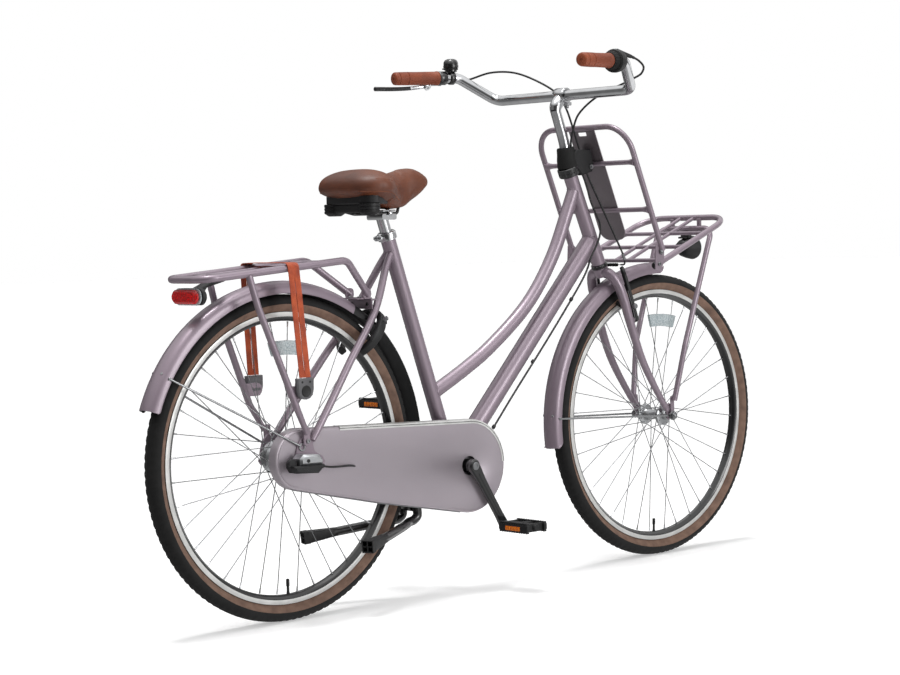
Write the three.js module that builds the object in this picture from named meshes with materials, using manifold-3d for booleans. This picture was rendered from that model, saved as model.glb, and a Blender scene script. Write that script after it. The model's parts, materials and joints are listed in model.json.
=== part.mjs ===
// A step-through city bike with front and rear carriers, a closed chaincase and a coaster hub.
// Millimetres. x runs forward from the rear axle, y to the rider's left, z up from the ground.
import * as THREE from 'three';
import { mergeVertices } from 'three/addons/utils/BufferGeometryUtils.js';
import Module from 'manifold-3d';

const wasm = await Module();
wasm.setup();

// Whole bike
const WHEELBASE = 1196;
const AXLE_HEIGHT = 356;
const MIDDLE_X = 594;
const BRACKET = [495, 0, 296];
const GAP = 0.3;

// Wheels, 47-622 tyres on 36-spoke rims laced three cross
const TYRE_RADIUS = 356;
const RIM_EDGE = 317.5;
const RIM_BED = 298;
const WHEEL_SIDES = 36;
const SPOKES = 36;
const SPOKE_RADIUS = 1.1;
const SPOKE_CROSS_ANGLE = 60;
const AXLE_RADIUS = 5;

// Frame tubes, outer radii
const HEAD_TUBE = 17.5;
const DOWN_TUBE = 22.5;
const CURVED_TUBE = 16;
const SEAT_TUBE = 17;
const STAY = 8.5;

// Steering axis: a point at the crown race and the head tube's length
const STEER_BASE = [1008, 0, 737];
const STEER_SLOPE = 0.426;
const HEAD_LENGTH = 236;
const STEERER_RADIUS = 12.7;

// Seat tube axis leans back by this much for each unit of height
const SEAT_SLOPE = 0.335;
const SEAT_TUBE_TOP = 833;
const POST_RADIUS = 13.4;

// Transmission
const CHAIN_PITCH = 12.7;
const CHAINRING_TEETH = 42;
const SPROCKET_TEETH = 20;
const CHAIN_Y = -46;
const CRANK_LENGTH = 170;
const CRANK_ANGLE = -58;
const CASE_OUTER_Y = -60;
const CASE_INNER_Y = -36;

const paint = new THREE.MeshStandardMaterial({ color: 0x8f7d8a, roughness: 0.38, metalness: 0.35 });
const chrome = new THREE.MeshStandardMaterial({ color: 0xd8dadc, roughness: 0.16, metalness: 1 });
const alloy = new THREE.MeshStandardMaterial({ color: 0xb4b6b8, roughness: 0.35, metalness: 0.9 });
const black = new THREE.MeshStandardMaterial({ color: 0x1b1b1d, roughness: 0.5, metalness: 0.1 });
const steel = new THREE.MeshStandardMaterial({ color: 0x55565a, roughness: 0.4, metalness: 0.8 });
const rubber = new THREE.MeshStandardMaterial({ color: 0x232220, roughness: 0.85 });
const leather = new THREE.MeshStandardMaterial({ color: 0x7a3f22, roughness: 0.6 });
const webbing = new THREE.MeshStandardMaterial({ color: 0xc2571f, roughness: 0.7 });
const redLens = new THREE.MeshStandardMaterial({ color: 0xb01a1a, roughness: 0.2 });
const clearLens = new THREE.MeshStandardMaterial({ color: 0xd9e2e2, roughness: 0.15 });

const bike = new THREE.Group();
bike.position.x = -MIDDLE_X;

// Points and directions

const vec = ([x, y, z]) => new THREE.Vector3(x, y, z);
const mirrored = (points) => points.map(([x, y, z]) => [x, -y, z]);
const radians = THREE.MathUtils.degToRad;
const steerUp = new THREE.Vector3(-STEER_SLOPE, 0, 1).normalize();
const steerForward = new THREE.Vector3(1, 0, STEER_SLOPE).normalize();

// A point on the steering axis, so far above the crown race, and so far forward and left of it.
function onSteer(up, forward = 0, left = 0) {
  const point = vec(STEER_BASE).addScaledVector(steerUp, up).addScaledVector(steerForward, forward);
  return [point.x, left, point.z];
}

const seatTubeX = (z) => BRACKET[0] - SEAT_SLOPE * (z - BRACKET[2]);
const seatTubePoint = (z) => [seatTubeX(z), 0, z];

// Solids

// A closed geometry as a solid whose faces point out.
function solid(geometry) {
  const bare = geometry.clone();
  bare.deleteAttribute('normal');
  bare.deleteAttribute('uv');
  const merged = mergeVertices(bare, 1e-4);
  const at = merged.attributes.position;
  const corners = [0, 1, 2].map(() => new THREE.Vector3());
  const faces = [];
  let volume = 0;
  for (let i = 0; i < merged.index.count; i += 3) {
    const face = [0, 1, 2].map((k) => merged.index.getX(i + k));
    if (new Set(face).size < 3) continue;
    face.forEach((vertex, k) => corners[k].fromBufferAttribute(at, vertex));
    volume += corners[0].dot(corners[1].clone().cross(corners[2]));
    faces.push(face);
  }
  const outward = volume > 0 ? faces : faces.map(([a, b, c]) => [a, c, b]);
  return new wasm.Manifold(
    new wasm.Mesh({
      numProp: 3,
      vertProperties: new Float32Array(at.array),
      triVerts: new Uint32Array(outward.flat()),
    }),
  );
}

const asSolid = (part) => (part.isBufferGeometry ? solid(part) : part);
const join = (...parts) => parts.map(asSolid).reduce((a, b) => a.add(b));
const cut = (body, ...tools) => tools.map(asSolid).reduce((a, b) => a.subtract(b), asSolid(body));

// Adds a named mesh to a group.
function add(group, name, part, material) {
  const made = asSolid(part).simplify(0.02).getMesh();
  const geometry = new THREE.BufferGeometry();
  geometry.setAttribute('position', new THREE.BufferAttribute(made.vertProperties, 3));
  geometry.setIndex(new THREE.BufferAttribute(made.triVerts, 1));
  geometry.computeVertexNormals();
  const mesh = new THREE.Mesh(geometry, material);
  mesh.name = name;
  group.add(mesh);
  return mesh;
}

// Forms

function polygon(radius, sides) {
  const points = [];
  for (let i = 0; i < sides; i += 1) {
    const angle = (2 * Math.PI * (i + 0.5)) / sides;
    points.push(new THREE.Vector2(radius * Math.cos(angle), radius * Math.sin(angle)));
  }
  return new THREE.Shape(points);
}

// A straight round bar from a to b.
function rod(a, b, radius, sides = 10, endRadius = radius) {
  const from = vec(a);
  const to = vec(b);
  const direction = to.clone().sub(from);
  const geometry = new THREE.CylinderGeometry(endRadius, radius, direction.length(), sides);
  geometry.applyQuaternion(
    new THREE.Quaternion().setFromUnitVectors(new THREE.Vector3(0, 1, 0), direction.clone().normalize()),
  );
  const middle = from.add(to).multiplyScalar(0.5);
  return geometry.translate(middle.x, middle.y, middle.z);
}

// Straight runs joined by round bends, with stations only where the tube bends.
class BentPath extends THREE.Curve {
  constructor(points, bend, bendSteps) {
    super();
    const corners = points.map(vec);
    const last = corners.length - 1;
    this.stations = [];
    const startDirection = corners[1].clone().sub(corners[0]).normalize();
    this.stations.push({ place: corners[0], direction: startDirection });
    for (let i = 1; i < last; i += 1) {
      const into = corners[i].clone().sub(corners[i - 1]).normalize();
      const out = corners[i + 1].clone().sub(corners[i]).normalize();
      const turn = into.angleTo(out);
      const side = out.clone().addScaledVector(into, -into.dot(out)).normalize();
      const trim = bend * Math.tan(turn / 2);
      const centre = corners[i].clone().addScaledVector(into, -trim).addScaledVector(side, bend);
      for (let k = 0; k <= bendSteps; k += 1) {
        const angle = (turn * k) / bendSteps;
        const place = centre.clone().addScaledVector(side, -bend * Math.cos(angle));
        place.addScaledVector(into, bend * Math.sin(angle));
        const direction = into.clone().multiplyScalar(Math.cos(angle));
        direction.addScaledVector(side, Math.sin(angle));
        this.stations.push({ place, direction });
      }
    }
    const endDirection = corners[last].clone().sub(corners[last - 1]).normalize();
    this.stations.push({ place: corners[last], direction: endDirection });
  }

  get steps() {
    return this.stations.length - 1;
  }

  getPointAt(u) {
    return this.stations[Math.round(u * this.steps)].place.clone();
  }

  getTangentAt(u) {
    return this.stations[Math.round(u * this.steps)].direction.clone();
  }
}

// A round tube through corners, bent at each one.
function bentTube(points, radius, bend, sides = 8, bendSteps = 4) {
  const extrudePath = new BentPath(points, bend, bendSteps);
  return new THREE.ExtrudeGeometry(polygon(radius, sides), { steps: extrudePath.steps, extrudePath });
}

// A round tube along a smooth curve through points.
function curvedTube(points, radius, steps, sides = 8) {
  const extrudePath = new THREE.CatmullRomCurve3(points.map(vec), false, 'centripetal');
  return new THREE.ExtrudeGeometry(polygon(radius, sides), { steps, extrudePath });
}

// A cylinder laid along a curve, with a radius that changes on the way.
function taperedTube(points, radiusAt, steps, sides) {
  const curve = new THREE.CatmullRomCurve3(points.map(vec), false, 'centripetal');
  const frames = curve.computeFrenetFrames(steps, false);
  const geometry = new THREE.CylinderGeometry(1, 1, 1, sides, steps);
  const at = geometry.attributes.position;
  for (let i = 0; i < at.count; i += 1) {
    const ring = Math.round((at.getY(i) + 0.5) * steps);
    const radius = radiusAt(ring / steps);
    const place = curve.getPointAt(ring / steps);
    place.addScaledVector(frames.normals[ring], at.getX(i) * radius);
    place.addScaledVector(frames.binormals[ring], at.getZ(i) * radius);
    at.setXYZ(i, place.x, place.y, place.z);
  }
  return geometry;
}

// A turned piece about y. The profile is [radius, y] pairs, closed on itself or on the axis.
function turned(profile, sides) {
  const points = profile.map(([r, y]) => new THREE.Vector2(r, y));
  if (profile[0][0] > 0) points.push(points[0].clone());
  return new THREE.LatheGeometry(points, sides);
}

// Stands a geometry that was made about y on a point, with its y along a direction.
function standOn(geometry, place, direction) {
  const turn = new THREE.Quaternion().setFromUnitVectors(new THREE.Vector3(0, 1, 0), direction);
  return geometry.applyQuaternion(turn).translate(place[0], place[1], place[2]);
}

// A side view in x and z, extruded across the bike from y low to y high.
function slab(shape, low, high, curveSegments = 6) {
  const depth = high - low;
  const geometry = new THREE.ExtrudeGeometry(shape, { depth, bevelEnabled: false, curveSegments });
  return geometry.rotateX(Math.PI / 2).translate(0, high, 0);
}

// A plan view in x and y, extruded upward.
function plate(shape, low, high, curveSegments = 6) {
  const depth = high - low;
  const geometry = new THREE.ExtrudeGeometry(shape, { depth, bevelEnabled: false, curveSegments });
  return geometry.translate(0, 0, low);
}

// An outline in y (shape x) and a given up direction, extruded forward from low to high.
function facing(shape, place, up, low, high, curveSegments = 8) {
  const across = new THREE.Vector3(0, 1, 0);
  const basis = new THREE.Matrix4().makeBasis(across, up, across.clone().cross(up));
  const depth = high - low;
  const geometry = new THREE.ExtrudeGeometry(shape, { depth, bevelEnabled: false, curveSegments });
  return geometry.translate(0, 0, low).applyMatrix4(basis).translate(...place);
}

const outline = (points) => new THREE.Shape(points.map(([x, y]) => new THREE.Vector2(x, y)));

function box(size, place) {
  return new THREE.BoxGeometry(...size).translate(...place);
}

// An arc of a wheel's circle, in its own plane.
class WheelArc extends THREE.Curve {
  constructor(radius, from, to) {
    super();
    Object.assign(this, { radius, from: radians(from), to: radians(to) });
  }

  getPoint(t) {
    const angle = this.from + (this.to - this.from) * t;
    return new THREE.Vector3(this.radius * Math.cos(angle), 0, this.radius * Math.sin(angle));
  }

  getPointAt(u) {
    return this.getPoint(u);
  }

  getTangentAt(u) {
    const angle = this.from + (this.to - this.from) * u;
    return new THREE.Vector3(-Math.sin(angle), 0, Math.cos(angle)).multiplyScalar(
      Math.sign(this.to - this.from),
    );
  }
}

// Wheels

const tyreProfile = [
  [308.4, -9.1], [318.4, -10.5], [335, -23], [350, -16], [TYRE_RADIUS, 0],
  [350, 16], [335, 23], [318.4, 10.5], [308.4, 9.1],
];
const rimProfile = [
  [RIM_EDGE, -12.5], [RIM_EDGE, -10.8], [308, -9.5], [308, 9.5], [RIM_EDGE, 10.8],
  [RIM_EDGE, 12.5], [306.5, 12.5], [RIM_BED, 5], [RIM_BED, -5], [306.5, -12.5],
];
const frontHub = {
  flangeRadius: 22, flangeY: 30,
  profile: [
    [5.5, -46], [10, -46], [13, -34], [26, -32.5], [26, -27.5], [13, -24],
    [13, 24], [26, 27.5], [26, 32.5], [13, 34], [10, 46], [5.5, 46],
  ],
};
const rearHub = {
  flangeRadius: 33, flangeY: 27.5,
  profile: [
    [5.5, -34], [24, -34], [28, -31], [37, -30], [37, -25], [30, -22],
    [30, 22], [37, 25], [37, 30], [28, 31], [22, 42], [5.5, 42],
  ],
};

// Hub and spokes: each flange's spokes leave in two directions, from its two faces.
function lacedHub({ flangeRadius, flangeY, profile }) {
  const parts = [turned(profile, 12)];
  const rimSide = RIM_BED * Math.cos(Math.PI / WHEEL_SIDES) - 2 * GAP;
  for (let i = 0; i < SPOKES; i += 1) {
    const side = i % 2 === 0 ? 1 : -1;
    const leading = Math.floor(i / 2) % 2 === 0 ? 1 : -1;
    const rimAngle = radians((360 / SPOKES) * (i + 0.5));
    const hubAngle = rimAngle - leading * radians(SPOKE_CROSS_ANGLE);
    const hubY = side * flangeY + leading * 2.2;
    const start = [flangeRadius * Math.cos(hubAngle), hubY, flangeRadius * Math.sin(hubAngle)];
    const end = [rimSide * Math.cos(rimAngle), side * 2, rimSide * Math.sin(rimAngle)];
    parts.push(rod(start, end, SPOKE_RADIUS, 3));
  }
  return join(...parts);
}

// A clip-on reflector that hangs between two spokes.
function spokeReflector(angle, lowRadius, highRadius, halfWidth, y) {
  const shape = new THREE.Shape();
  shape.moveTo(lowRadius, -halfWidth * 0.8);
  shape.lineTo(highRadius, -halfWidth);
  shape.quadraticCurveTo(highRadius + 8, 0, highRadius, halfWidth);
  shape.lineTo(lowRadius, halfWidth * 0.8);
  shape.quadraticCurveTo(lowRadius + 6, 0, lowRadius, -halfWidth * 0.8);
  return slab(shape, y, y + 7, 4).rotateY(-radians(angle));
}

function wheel(name, x, hub, reflectorAngle) {
  const group = new THREE.Group();
  group.position.set(x, 0, AXLE_HEIGHT);
  bike.add(group);
  add(group, `${name}_tyre`, turned(tyreProfile, WHEEL_SIDES), rubber);
  add(group, `${name}_rim`, turned(rimProfile, WHEEL_SIDES), alloy);
  add(group, `${name}_hub_and_spokes`, lacedHub(hub), alloy);
  add(group, `${name}_reflector`, spokeReflector(reflectorAngle, 222, 252, 50, -20), clearLens);
}

wheel('front_wheel', WHEELBASE, frontHub, 86);
wheel('rear_wheel', 0, rearHub, 88.5);

// Frame

const curvedTubePoints = [
  [924, 0, 930], [899, 0, 878], [842, 0, 767], [757, 0, 660], [625, 0, 560], [549, 0, 517], [440, 0, 464],
];
const chainstayPoints = [
  [486, -28, 297], [380, -36, 308], [300, -43, 317], [200, -47, 329], [110, -49.5, 341], [54, -58, 347],
];
const seatStayPoints = [
  [327, -5, 799], [306, -10, 771], [245, -35, 666], [155, -50, 556], [85, -61, 467], [30, -67, 396],
];
const DROPOUT_INNER_Y = 58.5;
const DROPOUT_THICKNESS = 6;

// Plate that holds the axle between a chainstay and a seat stay, with eyelets above it.
function dropout(side) {
  const shape = outline([
    [-20, 346], [-14, 338], [10, 336], [60, 336], [66, 348], [60, 358], [34, 372],
    [36, 400], [26, 406], [4, 404], [-8, 390], [-14, 372],
  ]);
  const inner = side * DROPOUT_INNER_Y;
  const outer = side * (DROPOUT_INNER_Y + DROPOUT_THICKNESS);
  const body = slab(shape, Math.min(inner, outer), Math.max(inner, outer));
  const slotEnd = box([34, 20, 2 * (AXLE_RADIUS + 0.4)], [-17, side * 61, AXLE_HEIGHT]);
  const slotRound = rod([0, side * 50, AXLE_HEIGHT], [0, side * 72, AXLE_HEIGHT], AXLE_RADIUS + 0.45, 12);
  return cut(body, slotEnd, slotRound);
}

function frameSolid() {
  const stays = [1, -1].flatMap((side) => {
    const chainstay = side < 0 ? chainstayPoints : mirrored(chainstayPoints);
    const seatStay = side < 0 ? seatStayPoints : mirrored(seatStayPoints);
    return [curvedTube(chainstay, STAY, 6, 8), curvedTube(seatStay, STAY, 6, 8), dropout(side)];
  });
  const tubes = join(
    rod(onSteer(9), onSteer(9 + HEAD_LENGTH), HEAD_TUBE, 14),
    rod([974, 0, 799], BRACKET, DOWN_TUBE, 12),
    curvedTube(curvedTubePoints, CURVED_TUBE, 9, 10),
    rod(BRACKET, seatTubePoint(SEAT_TUBE_TOP), SEAT_TUBE, 12),
    rod([BRACKET[0], -34, BRACKET[2]], [BRACKET[0], 34, BRACKET[2]], 21, 14),
    ...stays,
    rod([389.5, -35, 306.5], [389.5, 35, 306.5], 6.5, 8),
    box([3, 84, 22], [231.5, 0, 680]),
    box([36, 62, 3.5], [248, 0, 689.2]),
    box([46, 70, 3.5], [412, 0, 300]),
  );
  return cut(
    tubes,
    rod(onSteer(-10), onSteer(HEAD_LENGTH + 40), 15, 12),
    rod([BRACKET[0], -40, BRACKET[2]], [BRACKET[0], 40, BRACKET[2]], 9, 12),
    rod(seatTubePoint(520), seatTubePoint(SEAT_TUBE_TOP + 10), POST_RADIUS + 0.8, 12),
  );
}

add(bike, 'frame', frameSolid(), paint);
const headCup = [[13.5, 0], [21, 0], [21, 4], [20, 8.6], [13.5, 8.6]];
add(bike, 'headset_cup_lower', standOn(turned(headCup, 14), onSteer(0), steerUp), black);
add(bike, 'headset_cup_upper', standOn(turned(headCup, 14), onSteer(9.3 + HEAD_LENGTH), steerUp), black);

// Crankset, on its own axle in the bracket shell

const crankDirection = [Math.cos(radians(CRANK_ANGLE)), Math.sin(radians(CRANK_ANGLE))];
const acrossBracket = (low, high, radius, sides) => rod([0, low, 0], [0, high, 0], radius, sides);
const crankset = new THREE.Group();
crankset.position.set(...BRACKET);
bike.add(crankset);

add(crankset, 'crank_axle', acrossBracket(-78, 78, 8.2, 10), steel);

// Pitch radius of a chain wheel with so many teeth.
const pitchRadius = (teeth) => CHAIN_PITCH / (2 * Math.sin(Math.PI / teeth));
const TOOTH_TIP = 3.6;
const TOOTH_ROOT = 4.2;

// A toothed disc 2.4 thick on the chain line, with a bore.
function toothed(teeth, bore, sides) {
  const points = [];
  for (let i = 0; i < teeth; i += 1) {
    const root = (2 * Math.PI * i) / teeth;
    const tip = (2 * Math.PI * (i + 0.5)) / teeth;
    const low = pitchRadius(teeth) - TOOTH_ROOT;
    const high = pitchRadius(teeth) + TOOTH_TIP;
    points.push([low * Math.cos(root), low * Math.sin(root)], [high * Math.cos(tip), high * Math.sin(tip)]);
  }
  const shape = outline(points);
  shape.holes.push(new THREE.Path(polygon(bore, sides).getPoints()));
  return slab(shape, CHAIN_Y - 1.2, CHAIN_Y + 1.2);
}

// A crank arm with its boss round the axle, and the spindle that its pedal turns on.
function crankArm(side) {
  const pedal = crankDirection.map((part) => -side * part * CRANK_LENGTH);
  const arm = new THREE.Shape();
  const bossAngle = Math.atan2(pedal[1], pedal[0]);
  arm.absarc(0, 0, 17, bossAngle + 1.65, bossAngle - 1.65 + 2 * Math.PI, false);
  arm.absarc(pedal[0], pedal[1], 12, bossAngle - 1.6, bossAngle + 1.6, false);
  const [near, far] = [68, 82].map((y) => side * y);
  const bossEnd = side * (side < 0 ? 44.5 : 40);
  return cut(
    join(
      slab(arm, Math.min(near, far), Math.max(near, far), 5),
      acrossBracket(bossEnd, side * 70, 16, 14),
      rod([pedal[0], side * 72, pedal[1]], [pedal[0], side * 178, pedal[1]], 5, 8),
      rod([pedal[0], side * 80, pedal[1]], [pedal[0], side * 88, pedal[1]], 9, 8),
    ),
    acrossBracket(side * 30, side * 78.5, 8.6, 10),
  );
}

add(crankset, 'crank_right', join(crankArm(-1), toothed(CHAINRING_TEETH, 12, 14)), black);
add(crankset, 'crank_left', crankArm(1), black);

// A platform pedal round its spindle: two rails, two end plates, treads and a barrel.
function pedalBody(side) {
  const [inner, outer] = [92, 186].map((y) => side * y);
  const middle = (inner + outer) / 2;
  const length = Math.abs(outer - inner);
  return cut(
    join(
      box([9, length, 24], [28, middle, 0]),
      box([9, length, 24], [-28, middle, 0]),
      box([58, 8, 20], [0, inner + side * 6, 0]),
      box([58, 8, 20], [0, outer - side * 10, 0]),
      box([58, 16, 20], [0, middle, 0]),
      rod([0, inner + side * 2, 0], [0, outer - side * 4, 0], 9.5, 10),
    ),
    rod([0, inner - side * 5, 0], [0, side * 180, 0], 5.6, 10),
  );
}

for (const [name, side] of [['pedal_right', -1], ['pedal_left', 1]]) {
  const pedal = new THREE.Group();
  const [dx, dz] = crankDirection.map((part) => -side * part * CRANK_LENGTH);
  pedal.position.set(BRACKET[0] + dx, 0, BRACKET[2] + dz);
  bike.add(pedal);
  add(pedal, name, pedalBody(side), black);
}

// Chain and chaincase

// The line round the two chain wheels at their pitch radii plus an offset.
function chainLine(grow) {
  const across = Math.hypot(BRACKET[0], BRACKET[2] - AXLE_HEIGHT);
  const tilt = Math.atan2(BRACKET[2] - AXLE_HEIGHT, BRACKET[0]);
  const [front, rear] = [CHAINRING_TEETH, SPROCKET_TEETH].map(pitchRadius);
  const lean = Math.PI / 2 + Math.asin((front - rear) / across);
  const shape = new THREE.Shape();
  shape.absarc(BRACKET[0], BRACKET[2], front + grow, tilt - lean, tilt + lean, false);
  shape.absarc(0, AXLE_HEIGHT, rear + grow, tilt + lean, tilt - lean + 2 * Math.PI, false);
  return shape;
}

const CHAIN_HALF_WIDTH = 3.5;
add(bike, 'chain', cut(
  slab(chainLine(6.5), CHAIN_Y - CHAIN_HALF_WIDTH, CHAIN_Y + CHAIN_HALF_WIDTH, 12),
  slab(chainLine(-4), CHAIN_Y - 10, CHAIN_Y + 10, 12),
  slab(chainLine(4.9), CHAIN_Y - 1.6, CHAIN_Y + 1.6, 12),
), steel);

const CASE_SHEET = 1.5;

function caseLine(inset) {
  const shape = new THREE.Shape();
  shape.absarc(500, 294, 107.5 - inset, radians(-97), radians(87), false);
  shape.absarc(0, AXLE_HEIGHT, 67 - inset, radians(83), radians(258), false);
  shape.lineTo(222 + inset * 0.2, 238 + inset);
  return shape;
}

// A tray open towards the wheel, with holes for the crank, the axle's dropout and the shift cable.
add(bike, 'chaincase', cut(
  slab(caseLine(0), CASE_OUTER_Y, CASE_INNER_Y, 14),
  slab(caseLine(CASE_SHEET), CASE_OUTER_Y + CASE_SHEET, CASE_INNER_Y + 5, 14),
  rod([BRACKET[0], -70, BRACKET[2]], [BRACKET[0], -50, BRACKET[2]], 22, 20),
  slab(outline([
    [-26, 332], [118, 332], [118, 360], [72, 366], [50, 390], [72, 434], [0, 434], [-14, 392], [-26, 366],
  ]), -70, -56),
  rod([154, -66, 327], [154, -56, 327], 16, 12),
), black);

// Rear axle, hub gear and sprocket

const acrossAxle = (low, high, radius, sides) => (
  rod([0, low, AXLE_HEIGHT], [0, high, AXLE_HEIGHT], radius, sides)
);
add(bike, 'rear_axle', join(
  acrossAxle(-69.8, 74, AXLE_RADIUS, 8),
  acrossAxle(-58.2, -52.4, 9, 8),
  acrossAxle(42.4, 44.7, 9, 8),
  acrossAxle(48.5, 58.2, 9, 8),
  acrossAxle(-69.8, -64.8, 9, 6),
  acrossAxle(64.8, 72, 9, 6),
), steel);
add(bike, 'hub_shift_box', slab(outline([
  [-57, 343], [-48, 331], [18, 328], [30, 338], [31, 357], [20, 369], [-44, 371], [-57, 361],
]), -104, -70.2), alloy);
add(bike, 'torque_arm', cut(
  slab(outline([
    [-10, 350], [0, 345], [60, 324], [136, 305], [147, 306], [148, 316], [138, 320], [64, 336],
    [12, 361], [-4, 367],
  ]), 45, 48.2),
  acrossAxle(40, 52, AXLE_RADIUS + 0.5, 10),
), steel);

const sprocket = new THREE.Group();
sprocket.position.z = AXLE_HEIGHT;
bike.add(sprocket);
add(sprocket, 'rear_sprocket', join(
  turned([[5.4, -52], [14, -52], [16, -49], [16, -34.6], [5.4, -34.6]], 16),
  toothed(SPROCKET_TEETH, 12, 14),
), steel);

// Fenders: a thin rolled section swept round the wheel, with its stays riveted on

const FENDER_SHEET = 1.4;
const fenderHalf = [[27.5, -27], [25.5, -13], [16, -3.5]];

function fenderSection(narrower) {
  const half = fenderHalf.map(([u, w]) => [u - narrower, w]);
  const outer = [...half.map(([u, w]) => [-u, w]), [0, 0], ...half.reverse()];
  const inner = outer.map(([u, w]) => [u - Math.sign(u) * FENDER_SHEET, Math.max(w - FENDER_SHEET, -27)]);
  return outline([...outer, ...inner.reverse()]);
}

// The fender about its wheel's axle, with a wire stay on each side from an eye to its edge.
function fender(radius, from, to, steps, eye, edgeAngle, narrower = 0) {
  const extrudePath = new WheelArc(radius, from, to);
  const sheet = new THREE.ExtrudeGeometry(fenderSection(narrower), { steps, extrudePath });
  const edgeRadius = radius - 20;
  const turn = radians(edgeAngle);
  const edge = [edgeRadius * Math.cos(turn), 28 - narrower, edgeRadius * Math.sin(turn)];
  const [x, y, z] = eye;
  const stays = [1, -1].flatMap((side) => [
    rod([x, side * (y - 1), z], [x, side * (y + 1), z], 9, 10),
    rod([x - 6.5, side * (y + 1.7), z + 0.5], [edge[0], side * edge[1], edge[2]], 2.4, 6),
  ]);
  const holes = [1, -1].map((side) => rod([x, side * (y - 3), z], [x, side * (y + 3), z], 5.6, 10));
  return cut(join(sheet, ...stays), ...holes);
}

const rearFender = new THREE.Group();
rearFender.position.z = AXLE_HEIGHT;
bike.add(rearFender);
add(rearFender, 'rear_fender', fender(385, -17, 160, 16, [2, 65.9, 27], 148), paint);

// Rear carrier

const RACK_TUBE = 8;
const rackPoint = (x, y) => [x, y, 773.9 + 0.075 * (x - 50)];

// The flat lug on each leg that a strap hook sits on.
const strapLug = outline([
  [-42, 492], [-6, 488], [6, 492], [11, 503], [6, 514], [-6, 518], [-50, 516],
]);

function rearRack() {
  const rail = bentTube([
    [229, -31, 701], rackPoint(138, -70), rackPoint(-245, -70),
    rackPoint(-245, 70), rackPoint(138, 70), [229, 31, 701],
  ], RACK_TUBE, 36, 8, 3);
  const legs = [1, -1].flatMap((side) => [
    bentTube([[-131, side * 72, 757], [-112, side * 75, 690], [-24, side * 83, 472], [9, side * 75.2, 412]],
      RACK_TUBE - 0.5, 30, 7, 2),
    box([18, 4, 40], [12, side * 69.4, 405]),
    slab(strapLug, Math.min(side * 79, side * 83), Math.max(side * 79, side * 83), 4),
  ]);
  const bars = [-170, -20, 90].map((x) => rod(rackPoint(x, -68), rackPoint(x, 68), 5, 6));
  const runners = [24, -24].map((y) => rod(rackPoint(-240, y), rackPoint(90, y), 4, 5));
  return cut(
    join(rail, ...legs, ...bars, ...runners,
      box([46, 58, 3.5], [220, 0, 693.2]),
      box([24, 4, 24.5], [226, 30, 703.7]),
      box([24, 4, 24.5], [226, -30, 703.7])),
    rod([12, -90, 394], [12, 90, 394], 3, 8),
  );
}

add(bike, 'rear_rack', rearRack(), paint);

// Tail light under the carrier's end, on a slanted bracket

function roundedBar(halfWidth, low, high) {
  const radius = (high - low) / 2;
  const shape = new THREE.Shape();
  shape.absarc(halfWidth - radius, low + radius, radius, -Math.PI / 2, Math.PI / 2, false);
  shape.absarc(radius - halfWidth, low + radius, radius, Math.PI / 2, 1.5 * Math.PI, false);
  return shape;
}

const upright = new THREE.Vector3(0, 0, 1);
add(bike, 'tail_light_housing', join(
  facing(roundedBar(48, 698, 734), [0, 0, 0], upright, -238, -220, 5),
  slab(outline([
    [-224, 706], [-218, 706], [-150, 744], [-150, 750.6], [-166, 750.6], [-224, 722],
  ]), -19, 19),
), black);
const tailLens = facing(roundedBar(45, 701, 731), [0, 0, 0], upright, -250, -238.4, 5);
add(bike, 'tail_light_lens', tailLens, redLens);

// A strap over the carrier, split into two bands down each side, on two hooks under the leg lugs

const strapHalf = [[86.5, 534], [79, 770], [75.5, 778], [20, 779.3]];
const strapOuter = strapHalf.map(([y, z]) => [y + 2, z + (z > 775 ? 2 : 0)]);

function strap() {
  const outer = [...strapOuter, ...strapOuter.map(([y, z]) => [-y, z]).reverse()];
  const inner = [...strapHalf, ...strapHalf.map(([y, z]) => [-y, z]).reverse()].reverse();
  const band = facing(outline([...outer, ...inner]), [0, 0, 0], upright, -15, 15);
  const slits = [1, -1].map((side) => box([3, 20, 185], [0, side * 83, 650]));
  const lean = new THREE.Matrix4().set(
    1, -0.03, -0.07, 33,
    0, 1, 0, 0,
    0, 0, 1, 0,
    0, 0, 0, 1,
  );
  const sheared = [band, ...slits].map((part) => part.applyMatrix4(lean));
  return cut(...sheared);
}

add(bike, 'rack_strap', strap(), webbing);
for (const [name, side] of [['strap_hook_right', -1], ['strap_hook_left', 1]]) {
  const cap = new THREE.Shape();
  cap.moveTo(-28, 533.4);
  cap.lineTo(-27, 505);
  cap.quadraticCurveTo(-22, 487, -4, 487);
  cap.quadraticCurveTo(14, 487, 18, 505);
  cap.lineTo(18, 533.4);
  const [inner, outer] = [83.4, 95].map((y) => side * y);
  add(bike, name, slab(cap, Math.min(inner, outer), Math.max(inner, outer), 5), steel);
}

// Seat clamp, post, saddle

const seatUp = new THREE.Vector3(-SEAT_SLOPE, 0, 1).normalize();
const clampProfile = [
  [17.5, -11], [21.5, -11], [21.5, 4], [19, 7], [14.2, 7], [14.2, 0.4], [17.5, 0.4],
];
add(bike, 'seat_clamp', cut(
  join(
    standOn(turned(clampProfile, 16), seatTubePoint(SEAT_TUBE_TOP), seatUp),
    box([14, 15, 12], [seatTubeX(825) - 28, 0, 825]),
  ),
  box([26, 2.4, 30], [seatTubeX(825) - 28, 0, 827]),
), chrome);

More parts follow.
